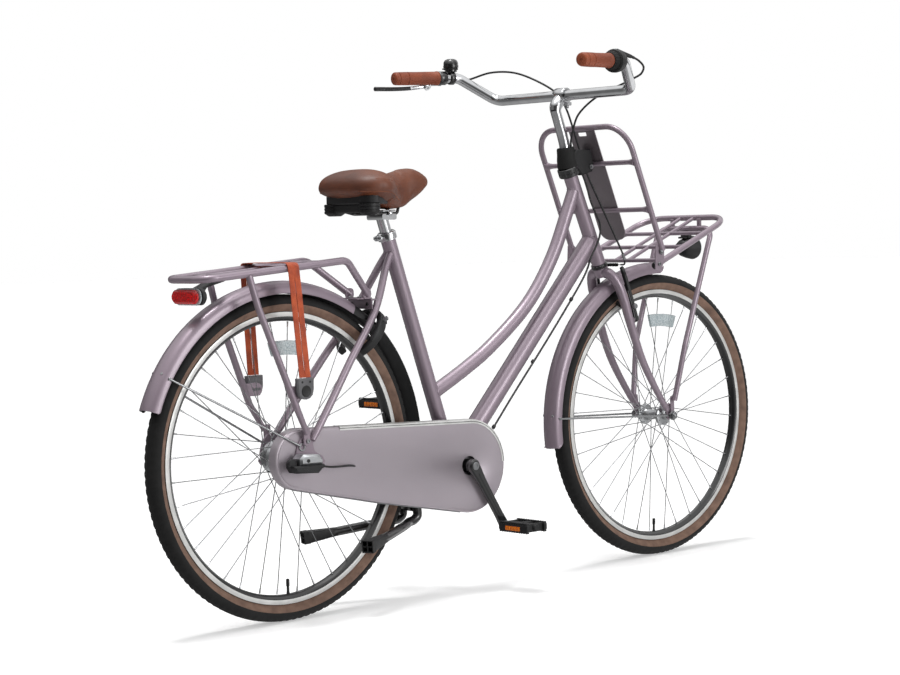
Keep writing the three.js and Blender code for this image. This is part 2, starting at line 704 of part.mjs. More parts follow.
const POST_TOP = 872;
const POST_LENGTH = 270;
const RAIL_Z = 880.5;
const postHead = seatTubeX(POST_TOP);
add(bike, 'seatpost', cut(
  join(
    rod(seatTubePoint(POST_TOP - POST_LENGTH), seatTubePoint(POST_TOP), POST_RADIUS, 12),
    box([44, 54, 14], [postHead, 0, RAIL_Z - 7]),
    box([12, 22, 10], [postHead, 0, RAIL_Z + 2]),
    box([38, 54, 4], [postHead, 0, RAIL_Z + 6.4]),
  ),
  rod([postHead - 40, 22, RAIL_Z], [postHead + 40, 22, RAIL_Z], 4.1, 8),
  rod([postHead - 40, -22, RAIL_Z], [postHead + 40, -22, RAIL_Z], 4.1, 8),
), chrome);

const SADDLE_REAR = 176;
const SADDLE_FRONT = 438;
const SADDLE_UNDERSIDE = 906;
const smooth = THREE.MathUtils.smoothstep;
const saddleHalfWidth = (x) => 33 + 72 * (1 - smooth(x, 212, 372));
const saddleTop = (x) => (
  977 - 16 * smooth(x, 215, 300) + 22 * smooth(x, 310, 395) - 6 * smooth(x, 400, 438)
);
const saddleUnderside = (x) => SADDLE_UNDERSIDE - 10 * smooth(x, 362, 384);

// The cushion: rings of a sphere with its poles at nose and tail, widened and crowned.
function saddleCushion() {
  const geometry = new THREE.SphereGeometry(1, 20, 14).rotateZ(-Math.PI / 2);
  const at = geometry.attributes.position;
  const middle = (SADDLE_REAR + SADDLE_FRONT) / 2;
  const half = (SADDLE_FRONT - SADDLE_REAR) / 2;
  const waist = SADDLE_UNDERSIDE + 20;
  for (let i = 0; i < at.count; i += 1) {
    const along = at.getX(i);
    const ring = Math.hypot(at.getY(i), at.getZ(i)) || 1;
    const full = (1 - Math.abs(along) ** 3) ** (1 / 2.4);
    const squared = (c) => Math.sign(c) * Math.abs(c) ** 0.72;
    const [side, lift] = [squared(at.getY(i) / ring), squared(at.getZ(i) / ring)];
    const x = middle + half * along;
    const height = lift > 0 ? saddleTop(x) - waist : waist - saddleUnderside(x);
    at.setXYZ(i, x, side * saddleHalfWidth(x) * full, waist + lift * height * Math.min(1, full * 1.05));
  }
  return geometry;
}

add(bike, 'saddle', saddleCushion(), leather);
const railPath = [[214, -36, 889], [240, -22, RAIL_Z], [329, -22, RAIL_Z], [342, -14, 900]];
const basePlan = [
  [186, 62], [196, 88], [222, 94], [262, 76], [306, 44], [336, 28], [344, 0],
];
const baseOutline = [...basePlan, ...basePlan.slice(0, -1).map(([x, y]) => [x, -y]).reverse()];
add(bike, 'saddle_base', join(
  plate(outline(baseOutline), 898, SADDLE_UNDERSIDE - 0.6),
  bentTube(railPath, 3.6, 10, 6, 3),
  bentTube(mirrored(railPath), 3.6, 10, 6, 3),
  ...[60, -60].flatMap((y) => [
    rod([216, y, 884], [216, y, 902], 24, 12),
    rod([216, y, 877], [216, y, 884], 15, 12, 24),
  ]),
  box([24, 120, 13], [212, 0, 890.5]),
), black);

// Ring lock on the seat stays

const lockUp = new THREE.Vector3(0.616, 0, 0.788).normalize();
const lockForward = new THREE.Vector3(0, 1, 0).cross(lockUp);
const LOCK_CENTRE = [230.4, 0, 614.2];
const LOCK_RING = 58;
const LOCK_GAP = 35;

// An arc about the lock's centre, measured from the left towards the top.
function lockArc(radius, from, to, steps, sides, ringRadius = LOCK_RING) {
  const geometry = new THREE.ExtrudeGeometry(polygon(radius, sides), {
    steps,
    extrudePath: new WheelArc(ringRadius, from, to),
  });
  const basis = new THREE.Matrix4().makeBasis(
    new THREE.Vector3(0, 1, 0), lockForward.clone().negate(), lockUp,
  );
  return geometry.applyMatrix4(basis).translate(...LOCK_CENTRE);
}

function lockBand(inner, outer, from, to, low, high) {
  const shape = new THREE.Shape();
  shape.absarc(0, 0, outer, radians(from), radians(to), false);
  shape.absarc(0, 0, inner, radians(to), radians(from), true);
  return facing(shape, LOCK_CENTRE, lockUp, low, high, 10);
}

add(bike, 'ring_lock', cut(
  lockBand(50, 66, LOCK_GAP - 90, 270 - LOCK_GAP, -8.6, 11),
  lockArc(5.7, LOCK_GAP - 100, 280 - LOCK_GAP, 20, 6),
  lockBand(56, 72, 139, 230, -4.2, 4.2),
), black);
add(bike, 'lock_bolt', join(
  lockArc(4.4, 132, 233, 9, 6),
  lockBand(56, 76, 141.5, 147.5, -3.4, 3.4),
), steel);

// Kickstand: two legs folded back under the chainstays

const STAND_PIVOT = [360, 0, 215];
add(bike, 'kickstand_bracket', cut(
  join(
    slab(outline([
      [396, 297.6], [432, 297.6], [430, 288], [414, 270], [371, 208], [350, 209], [350, 222],
      [374, 244], [390, 280],
    ]), -12, 12),
    box([42, 44, 4], [414, 0, 295.6]),
    rod([STAND_PIVOT[0], -15.2, STAND_PIVOT[2]], [STAND_PIVOT[0], 15.2, STAND_PIVOT[2]], 14.5, 14),
  ),
  rod([STAND_PIVOT[0], -30, STAND_PIVOT[2]], [STAND_PIVOT[0], 30, STAND_PIVOT[2]], 9.6, 12),
), black);

function standLeg(side) {
  const points = [
    [360, 25.5, 215], [361, 25.5, 192], [350, 25.5, 183], [335, 26.5, 180], [315, 38, 177], [269, 60, 171],
    [210, 85, 163], [160, 103, 158],
  ].map(([x, y, z]) => [x, side * y, z]);
  const foot = rod([212, side * 84.2, 163.3], [136, side * 113.5, 155], 10.5, 8, 17);
  const hollow = rod([150, side * 108, 156.6], [120, side * 119.6, 153.4], 12.5, 8, 14);
  return join(curvedTube(points, 9.5, 12, 8), cut(foot, hollow));
}

add(bike, 'kickstand', join(
  rod([STAND_PIVOT[0], -26, STAND_PIVOT[2]], [STAND_PIVOT[0], 26, STAND_PIVOT[2]], 9, 12),
  standLeg(1),
  standLeg(-1),
), black);

// Cables, clipped along their whole way. The shift cable comes in two lengths that meet under the
// headset cover: the upper one turns with the bar.

const CABLE_RADIUS = 2.5;
const brakeCable = [
  [781, 318.8, 1204], [812, 301, 1208], [842, 281, 1213], [865, 225, 1227], [885, 167, 1224.5],
  [893, 95, 1201], [912, 45, 1169], [921, 33, 1149], [924, 19, 1125], [926, -1, 1074],
  [935, -12.6, 1021], [949, -19.5, 969.5], [976, -36, 895], [1010, -50, 816],
  [1030, -62, 760], [1044, -50, 743], [1052, -28, 741], [1052, 30, 741],
];
const upperShiftCable = [
  [812.6, -303, 1226], [832, -306, 1218], [850, -305, 1205], [868, -282, 1191], [888, -233, 1181],
  [903, -181, 1171], [908, -133, 1159], [908, -92, 1145], [903, -57, 1122], [900, -39, 1103],
  [899, -25.6, 1072], [898.6, -17.6, 1035], [915, -19.5, 1000], [935.4, -20.5, 961],
];

// Steering: fork, stem and bar

const forkBlade = [
  [1011, -6, 725], [1013, -28, 720], [1025, -43, 695], [1040, -49, 655], [1057, -52, 600],
  [1098, -53, 502], [1158, -51.5, 410], [1188, -51.5, 370],
];
const BRAKE_PIVOT = [1073, -54, 606];
const brakeForward = new THREE.Vector3(0.969, 0, 0.248).normalize();
const brakeUp = new THREE.Vector3(-brakeForward.z, 0, brakeForward.x);

// A point so far ahead of a brake arm's pivot along its pin.
function onPin(side, ahead) {
  const [x, y, z] = BRAKE_PIVOT;
  return [x + brakeForward.x * ahead, -side * y, z + brakeForward.z * ahead];
}

function forkTip(side) {
  const tip = slab(outline([
    [1176, 380], [1192, 388], [1206, 372], [1208, 352], [1198, 343], [1186, 350], [1184, 362],
  ]), Math.min(side * 50, side * 56), Math.max(side * 50, side * 56));
  return cut(
    tip,
    rod([WHEELBASE, side * 40, AXLE_HEIGHT], [WHEELBASE, side * 70, AXLE_HEIGHT], AXLE_RADIUS + 0.5, 12),
    box([2 * AXLE_RADIUS + 1, 20, 30], [WHEELBASE, side * 53, AXLE_HEIGHT - 15]),
  );
}

const bladeRadius = (t) => 12.5 - 5 * smooth(t, 0.3, 1);
add(bike, 'fork', cut(
  join(
    rod(onSteer(-12), onSteer(262), STEERER_RADIUS, 12),
    rod(onSteer(-24), onSteer(-1.5), 17, 12, 19),
    taperedTube(forkBlade, bladeRadius, 10, 8),
    taperedTube(mirrored(forkBlade), bladeRadius, 10, 8),
    ...[1, -1].flatMap((side) => [forkTip(side), rod(onPin(side, -22), onPin(side, 9), 4.6, 8)]),
  ),
  rod(onSteer(60), onSteer(270), 11.8, 12),
), paint);

add(bike, 'front_axle', join(
  rod([WHEELBASE, -73, AXLE_HEIGHT], [WHEELBASE, 73, AXLE_HEIGHT], AXLE_RADIUS, 8),
  ...[1, -1].flatMap((side) => [
    rod([WHEELBASE, side * 46.4, AXLE_HEIGHT], [WHEELBASE, side * 49.7, AXLE_HEIGHT], 8.5, 8),
    rod([WHEELBASE, side * 63.4, AXLE_HEIGHT], [WHEELBASE, side * 71, AXLE_HEIGHT], 9, 6),
  ]),
), steel);

const BAR_RADIUS = 12.5;
const barHalf = [[631.6, -320, 1213], [809, -284, 1216.7], [890, -228, 1157]];
const barPath = [...barHalf, ...mirrored(barHalf).reverse()];
add(bike, 'handlebar', bentTube(barPath, BAR_RADIUS, 36, 10, 3), alloy);

const STEM_RADIUS = 13;
const stemPath = [onSteer(266.5), [899, 0, 1006], [893.5, 0, 1040], [865.5, 0, 1122]];
add(bike, 'stem', cut(
  join(
    rod(onSteer(170), onSteer(272), 11.1, 12),
    curvedTube(stemPath, STEM_RADIUS, 6, 12),
    slab(outline([[853, 1120], [876, 1118], [903, 1143], [885, 1163]]), -13, 13),
    rod([890, -17, 1157], [890, 17, 1157], 18.5, 14),
    box([16, 20, 20], [905, 0, 1137]),
  ),
  rod([890, -30, 1157], [890, 30, 1157], BAR_RADIUS + 0.8, 12),
  box([40, 50, 2.4], [910, 0, 1143]),
), alloy);

const BLOCK_HALF_WIDTH = 24;
add(bike, 'headset_cover', cut(
  join(
    rod(onSteer(247), onSteer(268), 26.5, 14),
    rod(onSteer(262), [896.5, 0, 1031], 25, 14, 21),
    slab(outline([
      [900, 990], [903, 1018], [912, 1026], [962, 1027], [968, 1012], [971, 985], [968, 972], [930, 962],
    ]), -BLOCK_HALF_WIDTH, BLOCK_HALF_WIDTH),
  ),
  rod(onSteer(230), onSteer(263.5), 22.1, 14),
  rod(onSteer(258), onSteer(276), STEM_RADIUS + 1.5, 12),
  curvedTube(stemPath, STEM_RADIUS + 1, 6, 12),
  curvedTube(upperShiftCable.slice(-4), CABLE_RADIUS + 1, 8, 8),
  curvedTube(brakeCable.slice(8, 13), CABLE_RADIUS + 1, 8, 8),
), black);

// Bar fittings, placed by their distance from the bar's end

const barEnd = vec(barHalf[0]);
const barAlong = vec(barHalf[1]).sub(barEnd).normalize();

function onBar(side, distance) {
  const point = barEnd.clone().addScaledVector(barAlong, distance);
  return [point.x, -side * point.y, point.z];
}

// A sleeve round the bar, between two distances from its end.
function sleeve(side, from, to, radius, endRadius = radius, sides = 12) {
  return rod(onBar(side, from), onBar(side, to), radius, sides, endRadius);
}
const barHole = (side) => sleeve(side, -0.6, 196, BAR_RADIUS + 0.8, BAR_RADIUS + 0.8, 10);

for (const [name, side, length] of [['grip_left', 1, 122], ['grip_right', -1, 112]]) {
  add(bike, name, cut(join(
    sleeve(side, -4, length, 16, 16.6),
    sleeve(side, length - 5, length, 17.6),
  ), barHole(side)), leather);
}
add(bike, 'twist_grip', cut(join(
  sleeve(-1, 112.6, 131, 19, 22.5),
  sleeve(-1, 127, 131, 25.5, 25.5, 16),
), barHole(-1)), black);
add(bike, 'shifter_housing', cut(
  join(
    sleeve(-1, 131.6, 157, 27, 23, 16),
    rod([772, -293, 1237], [812, -303, 1226], 7.5, 8, 4.2),
  ),
  barHole(-1),
), black);

const LEVER_PIVOT = [745, 331, 1200];
const leverAxis = new THREE.Vector3(0, 1, 1).normalize();
const onLeverAxis = (up) => vec(LEVER_PIVOT).addScaledVector(leverAxis, up).toArray();
add(bike, 'brake_lever_mount', cut(
  join(
    sleeve(1, 123, 144, 17),
    rod([772, 298, 1210], [759, 324, 1206], 7.5, 8),
    rod(onLeverAxis(-9.6), onLeverAxis(-5.6), 9, 8),
    rod(onLeverAxis(5.6), onLeverAxis(9.6), 9, 8),
    rod(onLeverAxis(-8), onLeverAxis(8), 2.6, 6),
    rod([750, 322, 1205], [780, 319, 1204], 7, 8, 4.5),
  ),
  barHole(1),
  cut(rod(onLeverAxis(-5.6), onLeverAxis(5.6), 11, 8), rod(onLeverAxis(-6), onLeverAxis(6), 2.6, 6)),
), alloy);
add(bike, 'brake_lever', cut(
  join(
    rod(onLeverAxis(-4), onLeverAxis(4), 7.5, 12),
    curvedTube([[743, 332, 1199], [705, 340, 1193], [655, 347, 1190], [600, 350, 1189]], 5, 7, 6),
    rod([604, 350, 1189], [592, 350, 1189], 6.5, 6),
  ),
  rod(onLeverAxis(-12), onLeverAxis(12), 3, 8),
), alloy);

const BELL = onBar(1, 162);
const bellAt = (low, high, radius, sides, endRadius) => rod(
  [BELL[0], BELL[1], BELL[2] + low], [BELL[0], BELL[1], BELL[2] + high], radius, sides, endRadius,
);
add(bike, 'bell', cut(
  join(
    cut(sleeve(1, 156, 168, 16.6), barHole(1)),
    bellAt(15.5, 20, 15, 14),
    bellAt(18, 43, 3.6, 8),
    turned([[0, 0], [18.5, 0], [19, 8], [16.5, 19], [11, 23], [0, 24]], 16)
      .rotateX(Math.PI / 2).translate(BELL[0], BELL[1], BELL[2] + 24),
  ),
), chrome);
add(bike, 'bell_lever', cut(
  join(
    bellAt(20.3, 23.6, 18, 14),
    box([14, 8, 3.3], [BELL[0] - 19, BELL[1], BELL[2] + 21.95]),
  ),
  bellAt(10, 30, 4.1, 8),
), steel);

// Front brake arms, each with its pad

function brakeArm(side) {
  const inward = -side;
  const arm = outline([
    [-8, -5], [0, -9], [8, -5], [9, 14], [8, 60], [16, 112], [18, 133], [12, 137], [6, 133], [1, 106],
    [-5, 60], [-9, 14],
  ].map(([y, up]) => [inward * y, up]));
  const padPoint = onPin(side, 0);
  const [dx, dz] = [brakeUp.x * 33, brakeUp.z * 33];
  const post = rod(
    [padPoint[0] + dx, side * 20, padPoint[2] + dz], [padPoint[0] + dx, side * 64, padPoint[2] + dz], 4, 8,
  );
  const pad = box([50, 8, 9], [0, side * 18.6, 0]).rotateY(-radians(25)).translate(
    padPoint[0] + dx, 0, padPoint[2] + dz,
  );
  return cut(
    join(facing(arm, padPoint, brakeUp, -4, 7), post, pad),
    rod(onPin(side, -20), onPin(side, 20), 5.1, 10),
  );
}
add(bike, 'brake_arm_right', brakeArm(-1), black);
add(bike, 'brake_arm_left', brakeArm(1), black);

add(bike, 'brake_cable', curvedTube(brakeCable, CABLE_RADIUS, 40, 5), black);
add(bike, 'shift_cable_upper', curvedTube(upperShiftCable, CABLE_RADIUS, 28, 5), black);
const shiftCable = [
  [935.8, -21, 959.4], [942, -26, 936], [950, -29, 902], [964, -34, 867], [975, -36, 843],
  [974, -36, 818], [965, -33, 793], [948, -29, 763], [937, -26, 735], [921, -24, 709],
  [814, -24, 590], [674, -24, 443], [535, -24, 295],
  [500, -25, 268], [458, -28, 262], [410, -41, 268], [370, -52, 278], [280, -54, 300], [200, -54, 318],
  [162, -55, 325], [140, -64, 330], [62, -86, 336], [31.4, -88, 342],
];
add(bike, 'shift_cable', curvedTube(shiftCable, CABLE_RADIUS, 40, 5), black);

// Front carrier: a back frame on the platform's rails, with a plate between its bars

const backUp = new THREE.Vector3(-124, 0, 303).normalize();
const backPoint = (up, y) => vec([1071, y, 775]).addScaledVector(backUp, up).toArray();
const plateShape = new THREE.Shape();
plateShape.moveTo(-43, 323);
plateShape.lineTo(-43, 60);
plateShape.quadraticCurveTo(-42, 30, -14, 28);
plateShape.lineTo(14, 28);
plateShape.quadraticCurveTo(42, 30, 43, 60);
plateShape.lineTo(43, 323);
const plateSlot = new THREE.Path();
plateSlot.absarc(9, 310, 5, -Math.PI / 2, Math.PI / 2, false);
plateSlot.absarc(-9, 310, 5, Math.PI / 2, 1.5 * Math.PI, false);
plateShape.holes.push(plateSlot);

const backCorners = [[0, -153], [327.4, -153], [327.4, 153], [0, 153]];
add(bike, 'carrier_back', join(
  bentTube(backCorners.map(([up, y]) => backPoint(up, y)), 7, 65, 8, 4),
  ...[109, 233].map((up) => rod(backPoint(up, -151), backPoint(up, 151), 6, 6)),
  facing(plateShape, [1071, 0, 775], backUp, 3.5, 6.5, 3),
  ...[1, -1].map((side) => slab(
    outline([[1046, 730], [1066, 726], [1078, 745], [1080, 782], [1062, 800], [1050, 790]]),
    Math.min(side * 148.2, side * 151.2), Math.max(side * 148.2, side * 151.2),
  )),
), paint);

const platformPoint = (x, y) => [x, y, 737 + 0.404 * (x - 1055)];
function platformLeg() {
  const half = [[1195, -70, 394], [1224, -84, 533], [1314, -90, 786], [1330, -90, 825]];
  return bentTube([...half, ...mirrored(half).reverse()], 7, 28, 7, 3);
}
const railCorners = [[1055, -140], [1340, -140], [1340, 140], [1055, 140]];
add(bike, 'carrier_platform', cut(
  join(
    bentTube(railCorners.map(([x, y]) => platformPoint(x, y)), 7.5, 60, 8, 4),
    ...[1088, 1165, 1245].map((x) => rod(platformPoint(x, -138), platformPoint(x, 138), 5, 6)),
    ...[22, -22].map((y) => rod(platformPoint(1088, y), platformPoint(1338, y), 4.5, 5)),
    platformLeg(),
    ...[1, -1].flatMap((side) => [
      box([12.6, 4, 60], [WHEELBASE, side * 61.4, 376]),
      box([8, 10, 24], [1332, side * 45, 838]),
    ]),
  ),
  rod([WHEELBASE, -80, AXLE_HEIGHT], [WHEELBASE, 80, AXLE_HEIGHT], AXLE_RADIUS + 0.5, 10),
), paint);

const alongX = (low, high, radius, sides, endRadius = radius) => (
  rod([low, 0, 776], [high, 0, 776], radius, sides, endRadius)
);
add(bike, 'headlight_housing', join(
  alongX(1310, 1356, 21, 16, 30),
  alongX(1298, 1314, 12, 12, 19),
  box([14, 26, 18], [1332, 0, 808.6]),
), black);
add(bike, 'headlight_lens', alongX(1356.4, 1363, 29, 16, 25), clearLens);

const frontFender = new THREE.Group();
frontFender.position.set(WHEELBASE, 0, AXLE_HEIGHT);
bike.add(frontFender);
add(frontFender, 'front_fender', fender(386, 87, 188, 10, [0, 57.6, 0], 177, 2.5), paint);

bike.updateMatrixWorld(true);

export default bike;
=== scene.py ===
import json
import math

import bmesh
import bpy
import numpy as np
from mathutils import Matrix, Vector
from mathutils.bvhtree import BVHTree

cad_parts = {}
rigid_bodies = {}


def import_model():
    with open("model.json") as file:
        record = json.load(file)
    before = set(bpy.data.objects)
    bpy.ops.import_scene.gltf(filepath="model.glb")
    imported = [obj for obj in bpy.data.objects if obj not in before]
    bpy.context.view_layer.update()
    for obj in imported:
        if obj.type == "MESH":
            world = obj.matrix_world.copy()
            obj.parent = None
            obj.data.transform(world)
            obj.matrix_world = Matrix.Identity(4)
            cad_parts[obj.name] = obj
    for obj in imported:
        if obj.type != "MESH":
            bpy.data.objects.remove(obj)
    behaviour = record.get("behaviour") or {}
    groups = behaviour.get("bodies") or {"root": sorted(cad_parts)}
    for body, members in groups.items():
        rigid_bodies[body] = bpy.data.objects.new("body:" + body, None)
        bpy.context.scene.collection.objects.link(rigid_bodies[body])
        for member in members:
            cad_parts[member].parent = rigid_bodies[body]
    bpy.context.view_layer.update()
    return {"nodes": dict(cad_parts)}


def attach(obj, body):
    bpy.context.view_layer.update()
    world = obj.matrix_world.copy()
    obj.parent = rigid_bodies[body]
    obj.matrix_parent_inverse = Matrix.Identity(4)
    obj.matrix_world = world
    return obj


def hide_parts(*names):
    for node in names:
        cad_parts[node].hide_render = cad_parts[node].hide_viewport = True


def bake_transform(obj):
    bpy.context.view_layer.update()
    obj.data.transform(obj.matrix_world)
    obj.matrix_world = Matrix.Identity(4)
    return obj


# The bike's looks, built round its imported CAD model. Pieces are drawn in the CAD's own
# millimetres (x forward from the rear axle, y to the rider's left, z up) and made in metres.

for old in list(bpy.data.objects):
    bpy.data.objects.remove(old)
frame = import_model()
nodes = frame["nodes"]

MIDDLE_X = 594
WHEELBASE = 1196
AXLE_HEIGHT = 356
BRACKET = np.array([495.0, 0, 296])
X, Y, Z = np.eye(3)
FRONT_AXLE = np.array([WHEELBASE, 0.0, AXLE_HEIGHT])
REAR_AXLE = np.array([0.0, 0, AXLE_HEIGHT])


def metres(places):
    """Bike millimetres to the row frame's metres."""
    return (np.asarray(places, float) - [MIDDLE_X, 0, 0]) / 1000


def unit(v):
    return np.asarray(v, float) / np.linalg.norm(v)


def smoothstep(value, low, high):
    """From 0 at low to 1 at high, level at both ends."""
    t = np.clip((value - low) / (high - low), 0, 1)
    return t * t * (3 - 2 * t)


# Lines

def smooth_line(points, steps=8):
    """The centripetal Catmull-Rom curve through points, which the CAD's curved tubes follow."""
    p = [np.array(q, float) for q in points]
    p = [2 * p[0] - p[1], *p, 2 * p[-1] - p[-2]]
    line = []
    for a, b, c, d in zip(p, p[1:], p[2:], p[3:]):
        before, span, after = (np.linalg.norm(v) ** 0.5 for v in (b - a, c - b, d - c))
        into = ((b - a) / before - (c - a) / (before + span) + (c - b) / span) * span
        out = ((c - b) / span - (d - b) / (span + after) + (d - c) / after) * span
        for t in np.arange(steps) / steps:
            square = (3 * (c - b) - 2 * into - out) * t ** 2
            cube = (2 * (b - c) + into + out) * t ** 3
            line.append(b + into * t + square + cube)
    return np.array([*line, p[-2]])


def bent_line(points, bend, steps=8):
    """Straight runs joined by round bends."""
    p = [np.array(q, float) for q in points]
    line = [p[0]]
    for before, corner, after in zip(p, p[1:], p[2:]):
        into, out = unit(corner - before), unit(after - corner)
        turn = math.acos(np.clip(into @ out, -1, 1))
        side = unit(out - into * (into @ out))
        centre = corner - into * bend * math.tan(turn / 2) + side * bend
        for angle in turn * np.arange(steps + 1) / steps:
            line.append(centre - side * bend * math.cos(angle) + into * bend * math.sin(angle))
    return np.array([*line, p[-1]])


def mirrored(points):
    """Points on the bike's other side."""
    return [(x, -y, z) for x, y, z in points]


def flipped(pairs):
    """Pairs in reverse order on the other side of zero, which close a symmetrical outline."""
    return [(u, -v) for u, v in pairs[::-1]]


def wheelwise(angle):
    """The direction at an angle in the bike's middle plane, from forward towards up."""
    return X * math.cos(angle) + Z * math.sin(angle)


def circle(radius, sides):
    """A round section, as (across, up) pairs."""
    angle = 2 * math.pi * (np.arange(sides) + 0.5) / sides
    return radius * np.column_stack([np.cos(angle), np.sin(angle)])


def rounded_box(width, height, radius, steps=4):
    """A rectangle's outline with round corners, as (across, up) pairs."""
    corners = []
    for sx, sy, start in ((1, 1, 0), (-1, 1, 90), (-1, -1, 180), (1, -1, 270)):
        middle = np.array([sx * (width / 2 - radius), sy * (height / 2 - radius)])
        angle = np.radians(start + 90 * np.arange(steps + 1) / steps)
        corners.append(middle + radius * np.column_stack([np.cos(angle), np.sin(angle)]))
    return np.concatenate(corners)


def inset(outline, distance):
    """An outline moved inward by a distance, corner by corner."""
    p = np.asarray(outline, float)
    area = np.cross(p, np.roll(p, -1, 0)).sum()
    edge = np.roll(p, -1, 0) - p
    edge /= np.maximum(np.linalg.norm(edge, axis=1, keepdims=True), 1e-9)
    normal = np.column_stack([-edge[:, 1], edge[:, 0]]) * np.sign(area)
    corner = normal + np.roll(normal, 1, 0)
    corner /= np.maximum((corner * normal).sum(1, keepdims=True), 0.3)
    return p + corner * distance


class Piece:
    """Faces gathered in bike millimetres and made into one object."""

    def __init__(self):
        self.places, self.faces, self.looks = [], [], []

    def loft(self, rings, look=0, round_path=False):
        """Quads between rings of equal length. look is a number, or one for each of a ring's sides."""
        rings = np.asarray(rings, float)
        count, size = rings.shape[:2]
        start = len(self.places)
        self.places.extend(rings.reshape(-1, 3))
        looks = look if hasattr(look, "__len__") else [look] * size
        for i in range(count if round_path else count - 1):
            for k in range(size):
                a, b = start + i * size, start + (i + 1) % count * size
                self.faces.append((a + k, a + (k + 1) % size, b + (k + 1) % size, b + k))
                self.looks.append(looks[k])
        if not round_path:
            self.faces.append(tuple(start + k for k in reversed(range(size))))
            self.faces.append(tuple(start + (count - 1) * size + k for k in range(size)))
            self.looks += [looks[0], looks[0]]
        return self

    def sweep(self, line, section, look=0, first=None, round_path=False):
        """A section of (across, up) pairs, or a function of the way along, carried along a line."""
        line = np.asarray(line, float)
        if round_path:
            ahead = np.roll(line, -1, 0) - np.roll(line, 1, 0)
        else:
            ahead = np.gradient(line, axis=0)
        ahead /= np.linalg.norm(ahead, axis=1, keepdims=True)
        across = np.cross(ahead[0], Z if abs(ahead[0] @ Z) < 0.9 else X) if first is None else first
        rings = []
        for i, (place, forward) in enumerate(zip(line, ahead)):
            across = unit(across - forward * (across @ forward))
            up = np.cross(forward, across)
            shape = section(i / (len(line) - 1)) if callable(section) else section
            rings.append(place + shape[:, :1] * across + shape[:, 1:] * up)
        return self.loft(rings, look, round_path)

    def tube(self, line, radius, sides=20, look=0, **options):
        if callable(radius):
            return self.sweep(line, lambda t: circle(radius(t), sides), look, **options)
        return self.sweep(line, circle(radius, sides), look, **options)

    def rod(self, a, b, radius, end=None, sides=20, look=0):
        """A straight bar whose ends are slightly rounded."""
        a, b = np.array(a, float), np.array(b, float)
        end = radius if end is None else end
        soft = min(0.15 * min(radius, end), 0.8)
        length = np.linalg.norm(b - a)
        profile = [(0, 0), (radius - soft, 0), (radius, soft), (end, length - soft), (end - soft, length),
                   (0, length)]
        return self.turned(profile, a, b - a, sides, look)

    def turned(self, profile, place, axis, sides=32, look=0):
        """A profile of (radius, along) pairs, closed on itself, turned about an axis through place."""
        axis = unit(axis)
        right = unit(np.cross(axis, Z if abs(axis @ Z) < 0.9 else X))
        up = np.cross(axis, right)
        profile = np.asarray(profile, float)
        rings = []
        for angle in 2 * math.pi * (np.arange(sides) + 0.5) / sides:
            out = right * math.cos(angle) + up * math.sin(angle)
            rings.append(place + profile[:, :1] * out + profile[:, 1:] * axis)
        return self.loft(rings, look, round_path=True)

    def slab(self, outline, place, right, up, low, high, soft=0.8, look=0):
        """An outline of (right, up) pairs given thickness along right x up, with softened edges."""
        right, up = unit(right), unit(up)
        through = np.cross(right, up)
        rings = []
        for depth, shrink in ((low, soft), (low + soft, 0), (high - soft, 0), (high, soft)):
            shape = inset(outline, shrink)
            rings.append(place + shape[:, :1] * right + shape[:, 1:] * up + depth * through)
        return self.loft(rings, look)

    def block(self, size, place, right=X, up=Z, round_edge=1.5, look=0):
        """A box with round upright edges and softened ends, size (right, through, up)."""
        shape = rounded_box(size[0], size[2], round_edge, 3)
        return self.slab(shape, place, right, up, -size[1] / 2, size[1] / 2, min(0.8, size[1] / 4), look)

    def nut(self, place, axis, radius, height, look=0):
        """A hexagon nut with a domed end."""
        self.turned([(0, 0), (radius, 0), (radius, height * 0.8), (radius * 0.85, height), (0, height)],
                    place, axis, 6, look)
        return self.turned([(0, height - 0.2), (radius * 0.55, height - 0.2), (radius * 0.5, height * 1.35),
                            (radius * 0.25, height * 1.5), (0, height * 1.55)], place, axis, 14, look)

    def screw(self, place, axis, radius, height, look=0):
        """A round socket-head screw."""
        return self.turned([(0, 0), (radius, 0), (radius, height * 0.7), (radius * 0.85, height),
                            (radius * 0.5, height), (radius * 0.45, height * 0.45), (0, height * 0.4)],
                           place, axis, 18, look)

    def made(self, name, body, looks, replaces=(), smooth=38, slot=None):
        looks = looks if isinstance(looks, (list, tuple)) else [looks]
        mesh = bpy.data.meshes.new(name)
        mesh.from_pydata(metres(self.places).tolist(), [], self.faces)
        for look in looks:
            mesh.materials.append(look)
        mesh.polygons.foreach_set("material_index", self.looks)
        tidy = bmesh.new()
        tidy.from_mesh(mesh)
        bmesh.ops.remove_doubles(tidy, verts=tidy.verts, dist=1e-7)
        bmesh.ops.dissolve_degenerate(tidy, edges=tidy.edges, dist=1e-7)
        bmesh.ops.recalc_face_normals(tidy, faces=tidy.faces)
        tidy.to_mesh(mesh)
        tidy.free()
        mesh.shade_smooth()
        mesh.set_sharp_from_angle(angle=math.radians(smooth))
        piece = bpy.data.objects.new(name, mesh)
        bpy.context.scene.collection.objects.link(piece)
        if body:
            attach(piece, body)
        if replaces:
            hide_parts(*replaces)
        return piece


# Finishes

def linear(colour):
    """A colour written as 0 to 255 values of the screen, as linear light."""
    c = np.asarray(colour, float) / 255
    return (*np.where(c < 0.04045, c / 12.92, ((c + 0.055) / 1.055) ** 2.4), 1)


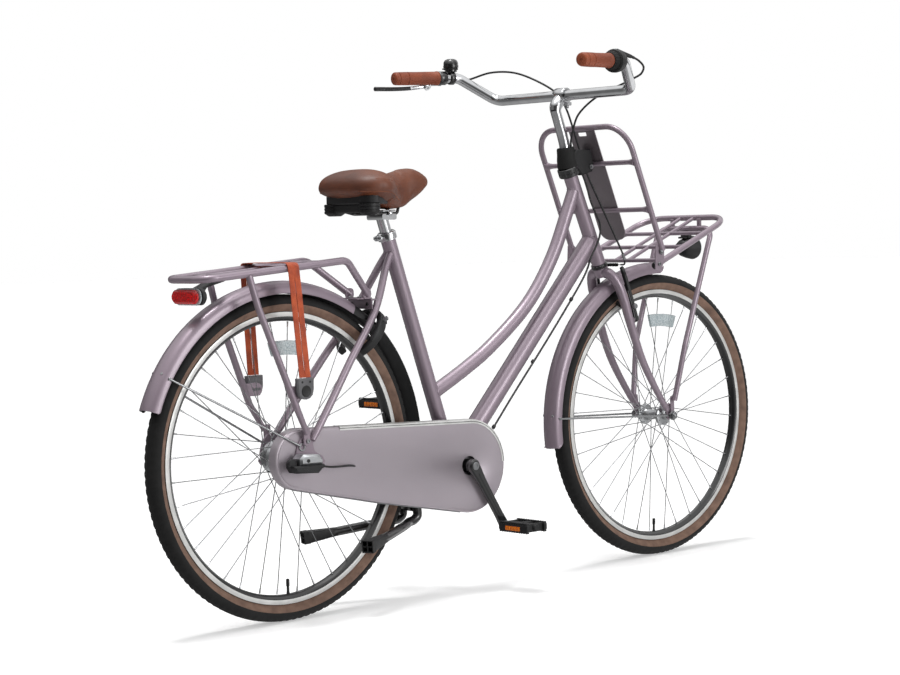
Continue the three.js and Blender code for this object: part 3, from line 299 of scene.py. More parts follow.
class Graph:
    """A tree of shader nodes."""

    def __init__(self, tree):
        self.tree = tree

    def node(self, kind, inputs=(), **settings):
        """A new node. Each input gets a value, or a link where it is given another node's output."""
        made = self.tree.nodes.new("ShaderNode" + kind)
        for key, value in settings.items():
            setattr(made, key, value)
        for socket, value in dict(inputs).items():
            if isinstance(value, bpy.types.NodeSocket):
                self.link(value, made.inputs[socket])
            else:
                made.inputs[socket].default_value = value
        return made

    def link(self, source, target):
        self.tree.links.new(source, target)

    def math(self, operation, *operands):
        return self.node("Math", enumerate(operands), operation=operation).outputs[0]

    def ramp(self, factor, stops):
        made = self.node("ValToRGB", {"Fac": factor})
        elements = made.color_ramp.elements
        while len(elements) < len(stops):
            elements.new(0.5)
        for element, (place, colour) in zip(elements, stops):
            element.position = place
            element.color = colour
        return made.outputs["Color"]

    def either(self, factor, low, high):
        """One shader or another, as a factor goes from 0 to 1."""
        return self.node("MixShader", {"Fac": factor, 1: low, 2: high}).outputs["Shader"]


class Finish(Graph):
    """A material whose colour, roughness and relief come from nodes."""

    def __init__(self, name, **fixed):
        self.material = bpy.data.materials.new(name)
        self.material.use_nodes = True
        super().__init__(self.material.node_tree)
        self.shader = self.tree.nodes["Principled BSDF"]
        for socket, value in fixed.items():
            self.shader.inputs[socket.replace("_", " ")].default_value = value
        self.place = self.node("TexCoord").outputs["Object"]
        self.relief = None

    def noise(self, scale, detail=3, place=None):
        inputs = {"Scale": scale, "Detail": detail, "Vector": place or self.place}
        return self.node("TexNoise", inputs).outputs["Fac"]

    def cells(self, scale, feature="F1"):
        inputs = {"Scale": scale, "Vector": self.place}
        return self.node("TexVoronoi", inputs, feature=feature).outputs["Distance"]

    def colour(self, factor, *colours, low=0.3, high=0.7):
        """The base colour, between colours as a factor rises."""
        steps = np.linspace(low, high, len(colours))
        stops = [(step, linear(colour)) for step, colour in zip(steps, colours)]
        self.link(self.ramp(factor, stops), self.shader.inputs["Base Color"])
        return self

    def roughness(self, factor, low, high):
        spread = self.node("MapRange", {"Value": factor, "To Min": low, "To Max": high})
        self.link(spread.outputs["Result"], self.shader.inputs["Roughness"])
        return self

    def bump(self, height, depth, strength=1.0):
        inputs = {"Strength": strength, "Distance": depth, "Height": height}
        if self.relief:
            inputs["Normal"] = self.relief
        self.relief = self.node("Bump", inputs).outputs["Normal"]
        self.link(self.relief, self.shader.inputs["Normal"])
        return self

    def stretched(self, x, y, z):
        return self.node("Mapping", {"Scale": (x, y, z), "Vector": self.place}).outputs["Vector"]

    def about_wheel(self, axle):
        """Distance from an axle, in metres, in the wheel's plane."""
        inputs = {"Location": Vector(metres(axle)) * -1, "Vector": self.place}
        moved = self.node("Mapping", inputs).outputs["Vector"]
        parts = self.node("SeparateXYZ", {"Vector": moved}).outputs
        squares = [self.math("MULTIPLY", parts[way], parts[way]) for way in "XZ"]
        return self.math("SQRT", self.math("ADD", *squares))


def painted(name, dark, light, **fixed):
    """Metallic paint: a fine flake, a slow drift of tone and the faint waves of a sprayed coat."""
    f = Finish(name, Metallic=0.45, Coat_Weight=0.6, Coat_Roughness=0.16, **fixed)
    flake = f.noise(2600, 2)
    drift = f.noise(6, 2)
    f.colour(f.math("ADD", f.math("MULTIPLY", flake, 0.6), f.math("MULTIPLY", drift, 0.4)), dark, light)
    f.roughness(f.noise(420, 2), 0.34, 0.46)
    return f.bump(f.noise(330, 2), 0.00012, 0.35).material


def bright_metal(name, colour, low, high, brushed=0.0):
    """Plated or polished metal with faint smudges, and brush marks if it is brushed."""
    f = Finish(name, Metallic=1.0)
    smudge = f.noise(34, 4)
    tone = np.array(colour)
    f.colour(smudge, tone - 10, tone + 8)
    f.roughness(smudge, low, high)
    if brushed:
        f.bump(f.noise(900, 2, place=f.stretched(1, 14, 14)), brushed, 0.5)
    return f.material


def moulded(name, dark, light, low, high, grain, depth, **fixed):
    """Plastic or rubber with a fine moulded grain."""
    f = Finish(name, **fixed)
    f.colour(f.noise(26, 5), dark, light)
    f.roughness(f.noise(60, 3), low, high)
    return f.bump(f.cells(grain), depth, 0.6).material


def hide(name, dark, middle, light, low, high, pore, depth):
    """Leather or its imitation: pores, soft creases and a worn drift of tone."""
    f = Finish(name, Coat_Weight=0.08, Coat_Roughness=0.45)
    drift = f.noise(14, 4)
    f.colour(drift, dark, middle, light)
    f.roughness(f.noise(90, 3), low, high)
    f.bump(f.cells(pore, "SMOOTH_F1"), depth, 0.55)
    return f.bump(f.noise(120, 4), depth * 1.6, 0.35).material


def sidewall(name, axle):
    """Tan casing with its fine moulded rings."""
    f = Finish(name)
    f.colour(f.noise(45, 5), (104, 80, 68), (122, 95, 80), (134, 106, 90))
    f.roughness(f.noise(80, 3), 0.62, 0.8)
    rings = f.math("SINE", f.math("MULTIPLY", f.about_wheel(axle), 2 * math.pi / CASING_RING_PITCH))
    return f.bump(rings, 0.00022, 0.5).bump(f.noise(900, 3), 0.00015, 0.5).material


def lens(name, dark, light, pitch, clear):
    """A moulded reflector or lamp lens with small prisms behind a gloss face."""
    f = Finish(name, Roughness=0.22, Coat_Weight=0.25, Coat_Roughness=0.05, Transmission_Weight=clear)
    prisms = f.cells(1 / pitch)
    f.colour(prisms, light, dark, low=0.1, high=0.8)
    return f.bump(prisms, pitch * 0.35, 0.7).material


THREAD_PITCH = 0.0022
CASING_RING_PITCH = 0.0026


def woven():
    """Elastic webbing: crossed threads with a soft sheen."""
    f = Finish("strap_webbing", Sheen_Weight=0.25, Sheen_Roughness=0.5)
    parts = f.node("SeparateXYZ", {"Vector": f.place}).outputs
    waves = [f.math("SINE", f.math("MULTIPLY", parts[way], 2 * math.pi / THREAD_PITCH)) for way in "ZX"]
    weave = f.math("MULTIPLY", *waves)
    tone = f.math("ADD", f.math("MULTIPLY", weave, 0.14), f.noise(40, 4))
    f.colour(tone, (150, 52, 12), (190, 74, 24), (204, 88, 36))
    f.roughness(f.noise(300, 2), 0.6, 0.8)
    return f.bump(weave, 0.0005, 0.7).material


paint = painted("mauve_paint", (138, 123, 135), (155, 140, 151))
# The chaincase takes the frame's mauve made lighter and greyer: painted reflection of the white room.
paint_case_painted_reflection = painted("case_paint_painted_reflection", (166, 157, 165), (178, 169, 176))
paint_plate = painted("plate_paint", (112, 103, 108), (123, 114, 119))
chrome = bright_metal("chrome_plate", (212, 213, 215), 0.07, 0.16)
alloy_bright = bright_metal("polished_alloy", (206, 207, 209), 0.12, 0.2)
alloy = bright_metal("satin_alloy", (192, 194, 196), 0.24, 0.36, brushed=0.00012)
steel = bright_metal("zinc_steel", (150, 151, 153), 0.3, 0.45, brushed=0.0001)
wire = bright_metal("stainless_wire", (168, 169, 171), 0.22, 0.3)
black_metal = moulded("black_enamel", (12, 12, 13), (20, 20, 22), 0.24, 0.36, 500, 0.00006, Coat_Weight=0.8)
black_plastic = moulded("black_plastic", (14, 14, 15), (23, 23, 25), 0.42, 0.6, 1100, 0.00012)
grey_plastic = moulded("grey_plastic", (86, 85, 88), (104, 103, 106), 0.34, 0.5, 1100, 0.0001)
rubber = moulded("tread_rubber", (10, 10, 10), (18, 17, 17), 0.7, 0.88, 700, 0.0002)
cable_skin = moulded("cable_sleeve", (15, 15, 16), (24, 24, 26), 0.32, 0.45, 900, 0.00004)
grip_skin = hide("grip_leather", (108, 46, 20), (132, 58, 26), (146, 70, 36), 0.5, 0.66, 900, 0.00022)
saddle_skin = hide("saddle_leather", (80, 39, 20), (97, 48, 24), (113, 59, 32), 0.4, 0.56, 620, 0.0003)
seam_thread = moulded("seam_thread", (112, 62, 38), (136, 80, 52), 0.6, 0.8, 1500, 0.0003)
front_wall = sidewall("front_casing", FRONT_AXLE)
rear_wall = sidewall("rear_casing", REAR_AXLE)
red_lens = lens("red_lens", (150, 0, 2), (240, 0, 4), 0.0034, 0.0)
clear_lens = lens("clear_lens", (176, 190, 194), (236, 244, 246), 0.0036, 0.35)
amber_lens = lens("amber_lens", (206, 84, 2), (255, 150, 10), 0.003, 0.05)
webbing = woven()
machined = moulded("machined_track", (208, 208, 206), (234, 234, 232), 0.3, 0.42, 1600, 0.00006,
                   Metallic=0.35)

finishes = {
    "paint": paint, "chrome": chrome, "alloy": alloy, "steel": steel, "black_metal": black_metal,
    "black_plastic": black_plastic, "tyre": rubber, "grip": grip_skin, "saddle": saddle_skin,
    "strap": webbing, "red_lens": red_lens, "clear_lens": clear_lens, "cable": cable_skin,
}


SOFT_EDGE = 0.0008
SHARP_ANGLE = math.radians(50)
SMOOTH_ANGLE = math.radians(42)


def dress(node):
    """A CAD node with its own finish, softened edges and smooth round faces."""
    shown = nodes[node]
    mesh = shown.data
    slot = mesh.materials[0].name.split(".")[0]
    mesh.materials[0] = finishes[slot]
    if "custom_normal" in mesh.attributes:
        mesh.attributes.remove(mesh.attributes["custom_normal"])
    mesh.shade_smooth()
    weld = shown.modifiers.new("weld", "WELD")
    weld.merge_threshold = 2e-5
    bevel = shown.modifiers.new("soft_edges", "BEVEL")
    bevel.width = SOFT_EDGE
    bevel.segments = 2
    bevel.limit_method = "ANGLE"
    bevel.angle_limit = SHARP_ANGLE
    split = shown.modifiers.new("smooth_by_angle", "EDGE_SPLIT")
    split.split_angle = SMOOTH_ANGLE


for name in nodes:
    dress(name)


# Camera, light and floor

CAMERA_PLACE = Vector((-3.47217, -3.70567, 0.85173))
CAMERA_RIGHT = Vector((0.73774476, -0.67452654, -0.02732448))
CAMERA_UP = Vector((0.05530107, 0.02004503, 0.9982685))
FOCAL_LENGTH = 86.53

camera = bpy.data.objects.new("camera", bpy.data.cameras.new("camera"))
camera.data.lens = FOCAL_LENGTH
camera.data.sensor_width = 36
back = CAMERA_RIGHT.cross(CAMERA_UP)
turn = Matrix((CAMERA_RIGHT, CAMERA_UP, back)).transposed().to_4x4()
camera.matrix_world = Matrix.Translation(CAMERA_PLACE) @ turn
bpy.context.scene.collection.objects.link(camera)
bpy.context.scene.camera = camera
bpy.context.scene.view_settings.view_transform = "Standard"


def area_light(name, place, target, size, power):
    """A soft box that faces a target."""
    light = bpy.data.objects.new(name, bpy.data.lights.new(name, "AREA"))
    light.data.shape = "RECTANGLE"
    light.data.size, light.data.size_y = size
    light.data.energy = power
    light.location = place
    light.rotation_euler = (Vector(target) - Vector(place)).to_track_quat("-Z", "Y").to_euler()
    bpy.context.scene.collection.objects.link(light)


area_light("overhead", (-0.4, -0.5, 3.2), (0, 0, 0.4), (2.6, 1.6), 22)
area_light("from_camera_right", (0.7, -3.9, 1.5), (0, 0, 0.55), (1.4, 2.4), 56)

sun = bpy.data.objects.new("high_sun", bpy.data.lights.new("high_sun", "SUN"))
sun.data.energy = 1.45
sun.data.angle = math.radians(13)
sun.rotation_euler = (math.radians(-3), math.radians(-4), 0)
bpy.context.scene.collection.objects.link(sun)

WHITE = (1, 1, 1, 1)
AMBIENT_LIGHT = 0.29

world = bpy.data.worlds.new("studio")
bpy.context.scene.world = world
world.use_nodes = True
sky = Graph(world.node_tree)
ambient = sky.tree.nodes["Background"]
ambient.inputs["Color"].default_value = WHITE
ambient.inputs["Strength"].default_value = AMBIENT_LIGHT
rays = sky.node("LightPath").outputs
white = sky.node("Background", {"Color": WHITE, "Strength": 1.0})
direction = sky.node("TexCoord").outputs["Generated"]


def room_ramp(way, stops):
    """Grey levels of the mirrored room, from the side against a way to the side that it points to."""
    dot = sky.node("VectorMath", {0: direction, 1: way}, operation="DOT_PRODUCT")
    toward = sky.math("MULTIPLY_ADD", dot.outputs["Value"], 0.5, 0.5)
    return sky.ramp(toward, [(place, (grey, grey, grey, 1)) for place, grey in stops])


# Chrome mirrors light boxes beside the camera and a bright ceiling. The camera sees plain white.
side_boxes = room_ramp((0.738, -0.675, 0), [
    (0.0, 0.16), (0.1, 0.22), (0.24, 0.05), (0.55, 0.06), (0.68, 0.2),
    (0.75, 1.0), (0.87, 1.0), (0.93, 0.32), (1.0, 0.6),
])
ceiling = room_ramp((0, 0, 1), [(0.0, 0.5), (0.3, 0.3), (0.42, 0.0), (0.66, 0.0), (0.8, 0.95), (1.0, 1.0)])
brighter = sky.node("Mix", {"Factor": 1.0, "A": side_boxes, "B": ceiling},
                    data_type="RGBA", blend_type="LIGHTEN")
mirrored_room = sky.node("Background", {"Color": brighter.outputs["Result"]})
by_gloss = sky.either(rays["Is Glossy Ray"], ambient.outputs[0], mirrored_room.outputs[0])
seen = sky.math("MAXIMUM", rays["Is Camera Ray"], rays["Is Transmission Ray"])
by_sight = sky.either(seen, by_gloss, white.outputs[0])
sky.link(by_sight, sky.tree.nodes["World Output"].inputs["Surface"])

FLOOR_HALF = 30.0
FLOOR_GREY = (0.93, 0.93, 0.93, 1)
FLOOR_LIFT = 0.36

floor_mesh = bpy.data.meshes.new("floor")
floor_corners = [(x * FLOOR_HALF, y * FLOOR_HALF, 0) for x, y in ((-1, -1), (1, -1), (1, 1), (-1, 1))]
floor_mesh.from_pydata(floor_corners, [], [(0, 1, 2, 3)])
floor = bpy.data.objects.new("floor", floor_mesh)
bpy.context.scene.collection.objects.link(floor)

# The floor is lifted to white for the camera, and polished parts see through it into the room.
floor_look = bpy.data.materials.new("floor_white")
floor_look.use_nodes = True
ground = Graph(floor_look.node_tree)
ground.tree.nodes.remove(ground.tree.nodes["Principled BSDF"])
rays = ground.node("LightPath").outputs
matt = ground.node("BsdfDiffuse", {"Color": FLOOR_GREY})
lift = ground.node("Emission", {"Strength": ground.math("MULTIPLY", rays["Is Camera Ray"], FLOOR_LIFT)})
lit = ground.node("AddShader", {0: matt.outputs[0], 1: lift.outputs[0]})
clear = ground.node("BsdfTransparent")
surface = ground.either(rays["Is Glossy Ray"], lit.outputs[0], clear.outputs[0])
ground.link(surface, ground.tree.nodes["Material Output"].inputs["Surface"])
floor_mesh.materials.append(floor_look)


# Wheels

RING_STEPS = 180
TREAD_PITCH = 3
tyre_half = [(334.5, 23.0), (339.5, 22.6), (344, 20.9), (348.5, 18.2), (352, 14), (354.4, 9), (355.4, 4.2)]
wall_half = [(308.4, 9.1), (318.4, 10.5), (322, 14.2), (327, 19.4), (331, 22)]


TAN_WALL = (310, 333)
BLOCK_ZONE = (345, 355.5)
BLOCK_GAP_DEPTH = 1.6
CENTRE_GROOVE = 4.2
CENTRE_GROOVE_DEPTH = 1.2


def tyre(name, axle, body, casing):
    """A tyre with a tan casing and a black tread, blocked at its shoulders, with two centre grooves."""
    half = wall_half + tyre_half
    profile = np.array([(r, -y) for r, y in half] + [(355.6, 0.0)] + half[::-1])
    looks = []
    for (r0, _), (r1, _) in zip(profile, np.roll(profile, -1, 0)):
        looks.append(1 if TAN_WALL[0] < min(r0, r1) < TAN_WALL[1] else 0)
    rings = []
    for i in range(RING_STEPS * 2):
        shape = profile.copy()
        for k, (r, y) in enumerate(profile):
            step = i + (1 if y > 0 else 0)
            if step % TREAD_PITCH == 0 and BLOCK_ZONE[0] < r < BLOCK_ZONE[1]:
                shape[k, 0] -= BLOCK_GAP_DEPTH
            elif abs(abs(y) - CENTRE_GROOVE) < 0.1:
                shape[k, 0] -= CENTRE_GROOVE_DEPTH
        rings.append(axle + shape[:, :1] * wheelwise(math.pi * i / RING_STEPS) + shape[:, 1:] * Y)
    piece = Piece().loft(rings, looks, round_path=True)
    return piece.made(name, body, [rubber, casing], [f"{body}_tyre"], smooth=32, slot="tyre")


TRACK = (306.8, 317.5)
TRACK_Y = 12


def rim(name, axle, body):
    """A black rim with machined brake tracks."""
    half = [(317.5, 10.8), (317.5, 12.5), (316.6, 12.8), (307.6, 12.9), (306.2, 12.3), (301, 8.6),
            (298.2, 5.4), (297.6, 2.6)]
    bed = [(308, -9.5), (308, 9.5)]
    outline = half + flipped(half) + bed
    looks = []
    for (r0, y0), (r1, y1) in zip(outline, outline[1:] + outline[:1]):
        on_track = min(r0, r1) >= TRACK[0] and max(r0, r1) <= TRACK[1]
        looks.append(1 if on_track and min(abs(y0), abs(y1)) > TRACK_Y else 0)
    piece = Piece().turned(outline, axle, Y, RING_STEPS, look=looks)
    return piece.made(name, body, [black_metal, machined], [f"{body}_rim"], smooth=25, slot="alloy")


SPOKES = 36
SPOKE_CROSS = 60
SPOKE_RADIUS = 1.05
SPOKE_END = 296.6
NIPPLE_LENGTH = 12
front_hub_half = [
    (5.5, -46), (9.4, -46), (10.4, -45), (12, -38), (12.6, -35), (24.5, -33.4), (26, -32.4), (26, -28.4),
    (24.8, -27.4), (15, -24.5), (12.6, -21),
]
front_hub = [*front_hub_half, (12.2, 0), *flipped(front_hub_half)]
rear_hub = [
    (5.5, -34), (22, -34), (24, -33.4), (28, -31), (36, -30.4), (37, -29.6), (37, -25.6), (35.8, -24.7),
    (31, -22),
    (29.6, -18), (29.6, 18), (31, 22), (35.8, 24.7), (37, 25.6), (37, 29.6), (36, 30.4), (28, 31.4),
    (24, 36), (21, 42), (5.5, 42),
]


def hub_and_spokes(name, axle, body, profile, flange_radius, flange_y):
    """A hub whose spokes leave both faces of each flange and cross on their way to the rim."""
    piece = Piece().turned(profile, axle, Y, 48)
    for i in range(SPOKES):
        side = 1 if i % 2 == 0 else -1
        leading = 1 if i // 2 % 2 == 0 else -1
        rim_angle = math.radians(360 / SPOKES * (i + 0.5))
        flange = axle + flange_radius * wheelwise(rim_angle - leading * math.radians(SPOKE_CROSS))
        start = flange + Y * (side * flange_y + leading * 2.6)
        end = axle + SPOKE_END * wheelwise(rim_angle) + Y * side * 2
        piece.rod(start, end, SPOKE_RADIUS, sides=8, look=1)
        piece.rod(end, end + unit(start - end) * NIPPLE_LENGTH, 2.1, 1.6, sides=10, look=2)
        head = start - Y * leading * 3.4
        piece.rod(head, head + Y * leading * 5, 2.1, sides=8, look=1)
    return piece.made(name, body, [alloy, wire, chrome], [f"{body}_hub_and_spokes"], slot="alloy")


def valve(name, axle, body, angle):
    """A car valve with its cap, standing in from the rim."""
    out = wheelwise(math.radians(angle))
    stem_and_cap = [(0, 0), (3.6, 0), (3.6, 3), (3, 5), (2.9, 17), (3.8, 18), (3.8, 30), (3.2, 33), (0, 33)]
    piece = Piece().turned(stem_and_cap, axle + out * 298, -out, 18)
    return piece.made(name, body, [black_plastic], slot="tyre")


def wheel(body, axle, profile, flange_radius, flange_y, casing, valve_angle):
    """One wheel: tyre, rim, hub with spokes, and valve."""
    tyre(f"{body}_fine_tyre", axle, body, casing)
    rim(f"{body}_fine_rim", axle, body)
    hub_and_spokes(f"{body}_fine_spokes", axle, body, profile, flange_radius, flange_y)
    valve(f"{body}_valve", axle, body, valve_angle)


wheel("front_wheel", FRONT_AXLE, front_hub, 22, 30, front_wall, -92.3)
wheel("rear_wheel", REAR_AXLE, rear_hub, 33, 27.5, rear_wall, -89.5)


# Frame

STEER_BASE = np.array([1008.0, 0, 737])
STEER_SLOPE = 0.426
STEER_UP = unit([-STEER_SLOPE, 0, 1])
STEER_FORWARD = unit([1, 0, STEER_SLOPE])
SEAT_SLOPE = 0.335
SEAT_UP = unit([-SEAT_SLOPE, 0, 1])
SEAT_TUBE_TOP = 833
HEAD_TUBE = 17.5
DOWN_TUBE = 22.5
CURVED_TUBE = 16
SEAT_TUBE = 17
STAY_TUBE = 8.5
BRACKET_SHELL = 21
BRACKET_HALF_WIDTH = 34
DOWN_TUBE_TOP = np.array([974.0, 0, 799])
SIDES = (-1, 1)


def on_steer(up, forward=0, left=0):
    """A point in the steering's own directions, from the head tube's foot."""
    return STEER_BASE + STEER_UP * up + STEER_FORWARD * forward + Y * left


def steer_out(angle):
    """The direction at an angle about the steering's axis, from forward towards the rider's left."""
    return STEER_FORWARD * math.cos(angle) + Y * math.sin(angle)


def seat_tube_point(z):
    """The point of the seat tube's axis at a height."""
    return np.array([BRACKET[0] - SEAT_SLOPE * (z - BRACKET[2]), 0, z])


def on_side(side, points):
    """Points given for the right-hand side, on either side."""
    return [(x, -side * y, z) for x, y, z in points]


def weld_line(place, along, radius, other_place, other_axis, other_radius, steps=56):
    """Where a tube that leaves a place along a direction comes out of another tube's surface."""
    along, other_axis = unit(along), unit(other_axis)
    right = unit(np.cross(along, Y))
    up = np.cross(along, right)
    line = []
    for angle in 2 * math.pi * np.arange(steps) / steps:
        start = np.asarray(place, float) + radius * (right * math.cos(angle) + up * math.sin(angle))
        apart = start - other_place
        apart = apart - other_axis * (apart @ other_axis)
        drift = along - other_axis * (along @ other_axis)
        a, b, c = drift @ drift, 2 * (apart @ drift), apart @ apart - other_radius ** 2
        line.append(start + along * (math.sqrt(max(b * b - 4 * a * c, 0)) - b) / (2 * a))
    return line


curved_tube_points = [
    (924, 0, 930), (899, 0, 878), (842, 0, 767), (757, 0, 660), (625, 0, 560), (549, 0, 517), (440, 0, 464),
]
chainstay_points = [
    (486, -28, 297), (380, -36, 308), (300, -43, 317), (200, -47, 329), (110, -49.5, 341), (58, -54, 347),
]
seat_stay_points = [
    (327, -5, 799), (306, -10, 771), (245, -35, 666), (155, -50, 556), (85, -61, 467), (30, -67, 396),
]
dropout_outline = [
    (-20, 346), (-14, 338), (10, 336), (60, 336), (66, 348), (60, 358), (38, 371), (34, 386), (36, 400),
    (26, 406),
    (4, 404), (-8, 390), (-14, 372), (-16.4, 361.4), (0, 361.4), (4, 359.8), (5.4, 356), (4, 352.2),
    (0, 350.6),
    (-19, 350.6),
]


def weld_bead(piece, line, radius=1.5):
    """A closed bead along a weld line."""
    piece.tube(line, radius, 8, round_path=True)


def bike_frame():
    """The tubes with their weld beads, the dropouts, the bracket's cups and the three mounting plates."""
    piece = Piece()
    piece.rod(on_steer(9), on_steer(245), HEAD_TUBE, sides=40)
    piece.rod(DOWN_TUBE_TOP, BRACKET, DOWN_TUBE, sides=44)
    piece.tube(smooth_line(curved_tube_points, 10), CURVED_TUBE, 36)
    piece.rod(BRACKET, seat_tube_point(SEAT_TUBE_TOP), SEAT_TUBE, sides=40)
    shell_half = BRACKET_HALF_WIDTH * Y
    piece.rod(BRACKET - shell_half, BRACKET + shell_half, BRACKET_SHELL, sides=40)
    piece.rod((389.5, -35, 306.5), (389.5, 35, 306.5), 6.5)
    for side in SIDES:
        stay = smooth_line(on_side(side, chainstay_points), 8)
        piece.tube(stay, lambda t: STAY_TUBE - 4 * smoothstep(t, 0.82, 1), 24)
        seat_stay = smooth_line(on_side(side, seat_stay_points), 10)
        piece.tube(seat_stay, lambda t: STAY_TUBE - 2 * smoothstep(t, 0.95, 1), 24)
        piece.slab(dropout_outline, Y * side * 61.5, X, Z, -3, 3, soft=1)
        high, low = (np.array(p, float) for p in on_side(side, seat_stay_points)[:2])
        weld_bead(piece, weld_line(low, low - high, STAY_TUBE, BRACKET, SEAT_UP, SEAT_TUBE), 1.3)
    high, low = (np.array(p, float) for p in curved_tube_points[:2])
    weld_bead(piece, weld_line(low, low - high, CURVED_TUBE, STEER_BASE, STEER_UP, HEAD_TUBE))
    lower_end, before = (np.array(p, float) for p in (curved_tube_points[-1], curved_tube_points[-2]))
    weld_bead(piece, weld_line(lower_end, before - lower_end, CURVED_TUBE, BRACKET, SEAT_UP, SEAT_TUBE))
    downward = BRACKET - DOWN_TUBE_TOP
    weld_bead(piece, weld_line(DOWN_TUBE_TOP, downward, DOWN_TUBE - 0.2, STEER_BASE, STEER_UP, HEAD_TUBE))
    piece.block((3, 84, 22), (231.5, 0, 680), round_edge=1.4)
    piece.block((36, 62, 3.5), (248, 0, 689.2))
    piece.block((46, 70, 3.5), (412, 0, 300))
    for side in SIDES:
        piece.screw((229.6, side * 27, 680), -X, 4.2, 2.6, look=1)
    for side in SIDES:
        cup = [(9.4, 0), (18.5, 0), (18.5, 2.2), (17, 3.2), (9.4, 3.2)]
        piece.turned(cup, BRACKET + Y * side * BRACKET_HALF_WIDTH, Y * side, 36, look=1)
    return piece.made("frame_tubes", "frame", [paint, black_metal], ["frame"], slot="paint")


headset_cup = [
    (13.5, 0), (20.4, 0), (21, 0.8), (21, 3), (19.6, 3.6), (19.6, 4.6), (20.6, 5.2), (20.4, 8), (19.8, 8.6),
    (13.5, 8.6),
]


def headset_rings():
    """Both knurled headset cups, at the ends of the head tube."""
    for name, up in (("headset_cup_lower", 0), ("headset_cup_upper", 245.3)):
        piece = Piece().turned(headset_cup, on_steer(up), STEER_UP, 48)
        for i in range(14):
            out = steer_out(2 * math.pi * i / 14)
            piece.rod(on_steer(up + 5.6) + out * 18.6, on_steer(up + 8.2) + out * 18.6, 2.2, sides=8,
                      look=1)
        piece.made(f"{name}_ring", "frame", [black_metal, steel], [name], slot="black_metal")


bike_frame()
headset_rings()


# Chaincase

CASE_FRONT = (500, 294, 107.5)
CASE_REAR = (0, 356, 67)
CASE_CORNER = (222, 238)
TRIM_START_X = 101


def arc_points(centre_x, centre_z, radius, start, end, steps):
    """Points on an arc, between two angles in degrees."""
    angle = np.radians(np.linspace(start, end, steps))
    return np.column_stack([centre_x + radius * np.cos(angle), centre_z + radius * np.sin(angle)])


def straight(a, b, steps):
    """The points between two ends, without the ends."""
    return np.linspace(a, b, steps + 1)[1:-1]


front_arc = arc_points(*CASE_FRONT, -97, 87, 44)
rear_arc = arc_points(*CASE_REAR, 83, 258, 30)
case_outline = np.concatenate([
    front_arc, straight(front_arc[-1], rear_arc[0], 24), rear_arc, straight(rear_arc[-1], CASE_CORNER, 10),
    [CASE_CORNER], straight(CASE_CORNER, front_arc[0], 12),
])


def case_ring(shrink, y):
    """The chaincase's outline, drawn in by a distance, at a depth."""
    shape = inset(case_outline, shrink)
    return np.column_stack([shape[:, 0], np.full(len(shape), y), shape[:, 1]])


def hole_ring(outline, centre, hole, y):
    """The hole's edge, with a point towards each point of an outline."""
    toward = np.asarray(outline, float) - centre
    toward /= np.linalg.norm(toward, axis=1, keepdims=True)
    edge = centre + toward * hole
    return np.column_stack([edge[:, 0], np.full(len(edge), y), edge[:, 1]])


def chaincase():
    """An open shell of one wall: over its edge, in to the crank's hole and back along the inside."""
    crank = np.array([BRACKET[0], BRACKET[2]])
    outside = [(0, -36), (0, -54), (0.5, -57), (1.9, -59), (4.4, -60), (9, -60.2)]
    hole = [(22.6, -60.2), (22, -59.6), (22, -58.6)]
    inside = [(5, -58.6), (2, -56.5), (1.5, -54), (1.5, -36)]
    rings = [case_ring(shrink, y) for shrink, y in outside]
    rings += [hole_ring(case_outline, crank, radius, y) for radius, y in hole]
    rings += [case_ring(shrink, y) for shrink, y in inside]
    piece = Piece().loft(rings, round_path=True)
    fold = arc_points(CASE_REAR[0], CASE_REAR[1], 60, 90, 264, 40)
    piece.tube(np.column_stack([fold[:, 0], np.full(len(fold), -60.6), fold[:, 1]]), 1.2, 8)
    lower_start = len(front_arc) + 23 + len(rear_arc) - 3
    piece.tube(case_ring(-0.6, -57)[lower_start:], 1.1, 8, look=1)
    piece.made("chaincase_cover", "frame", [paint_case_painted_reflection, steel], ["chaincase"], smooth=50, slot="paint")


def chaincase_highlight_trim():
    """A strip with a dark groove over the case's top and front edge; its near-white colour is partly a
    painted highlight of the rolled edge.
    """
    top_end = next(i for i, (x, z) in enumerate(case_outline) if i > len(front_arc) and x < TRIM_START_X)
    first = len(front_arc) // 2 + 1
    # The strip is a trim piece whose near-white finish partly stands for a painted highlight.
    section = [(-1, -37, 0), (-1, -56, 0), (-0.4, -59.2, 0), (1, -61, 0), (3.4, -61.3, 1), (4.8, -61.3, 0),
               (8.4, -61.2, 0), (8.6, -60.4, 0), (3, -60.2, 0), (-0.2, -58, 0), (-0.2, -37, 0)]
    columns = [case_ring(shrink, y)[first:top_end] for shrink, y, _ in section]
    rings = np.swapaxes(np.array(columns), 0, 1)
    looks = [look for _, _, look in section]
    Piece().loft(rings, looks).made("chaincase_highlight_trim", "frame", [machined, black_plastic], slot="chrome")


chaincase()
chaincase_highlight_trim()


# Crankset and pedals

CRANK_ANGLE = math.radians(-58)
CRANK_LENGTH = 170
CRANK_AHEAD = wheelwise(CRANK_ANGLE)
CHAINRING_TEETH = 42
CHAIN_PITCH = 12.7


def arm_outline(boss, tip):
    """A crank arm's side view, along its length: round at both ends and drawn in between."""
    back = arc_points(0, 0, boss, 95, 265, 14)
    front = arc_points(CRANK_LENGTH, 0, tip, -92, 92, 12)
    waist = [(40, -11.6), (95, -10.2), (140, -10)]
    return [*back.tolist(), *waist, *front.tolist(), *flipped(waist)]


def toothed_outline(teeth):
    """A chainring's edge: each tooth as five points about the pitch circle."""
    pitch_radius = CHAIN_PITCH / (2 * math.sin(math.pi / teeth))
    outline = []
    for i in range(teeth):
        for step, radius in ((0, -4.2), (0.22, -3.2), (0.42, 3), (0.58, 3), (0.78, -3.2)):
            angle = 2 * math.pi * (i + step) / teeth
            reach = pitch_radius + radius
            outline.append((reach * math.cos(angle), reach * math.sin(angle)))
    return outline


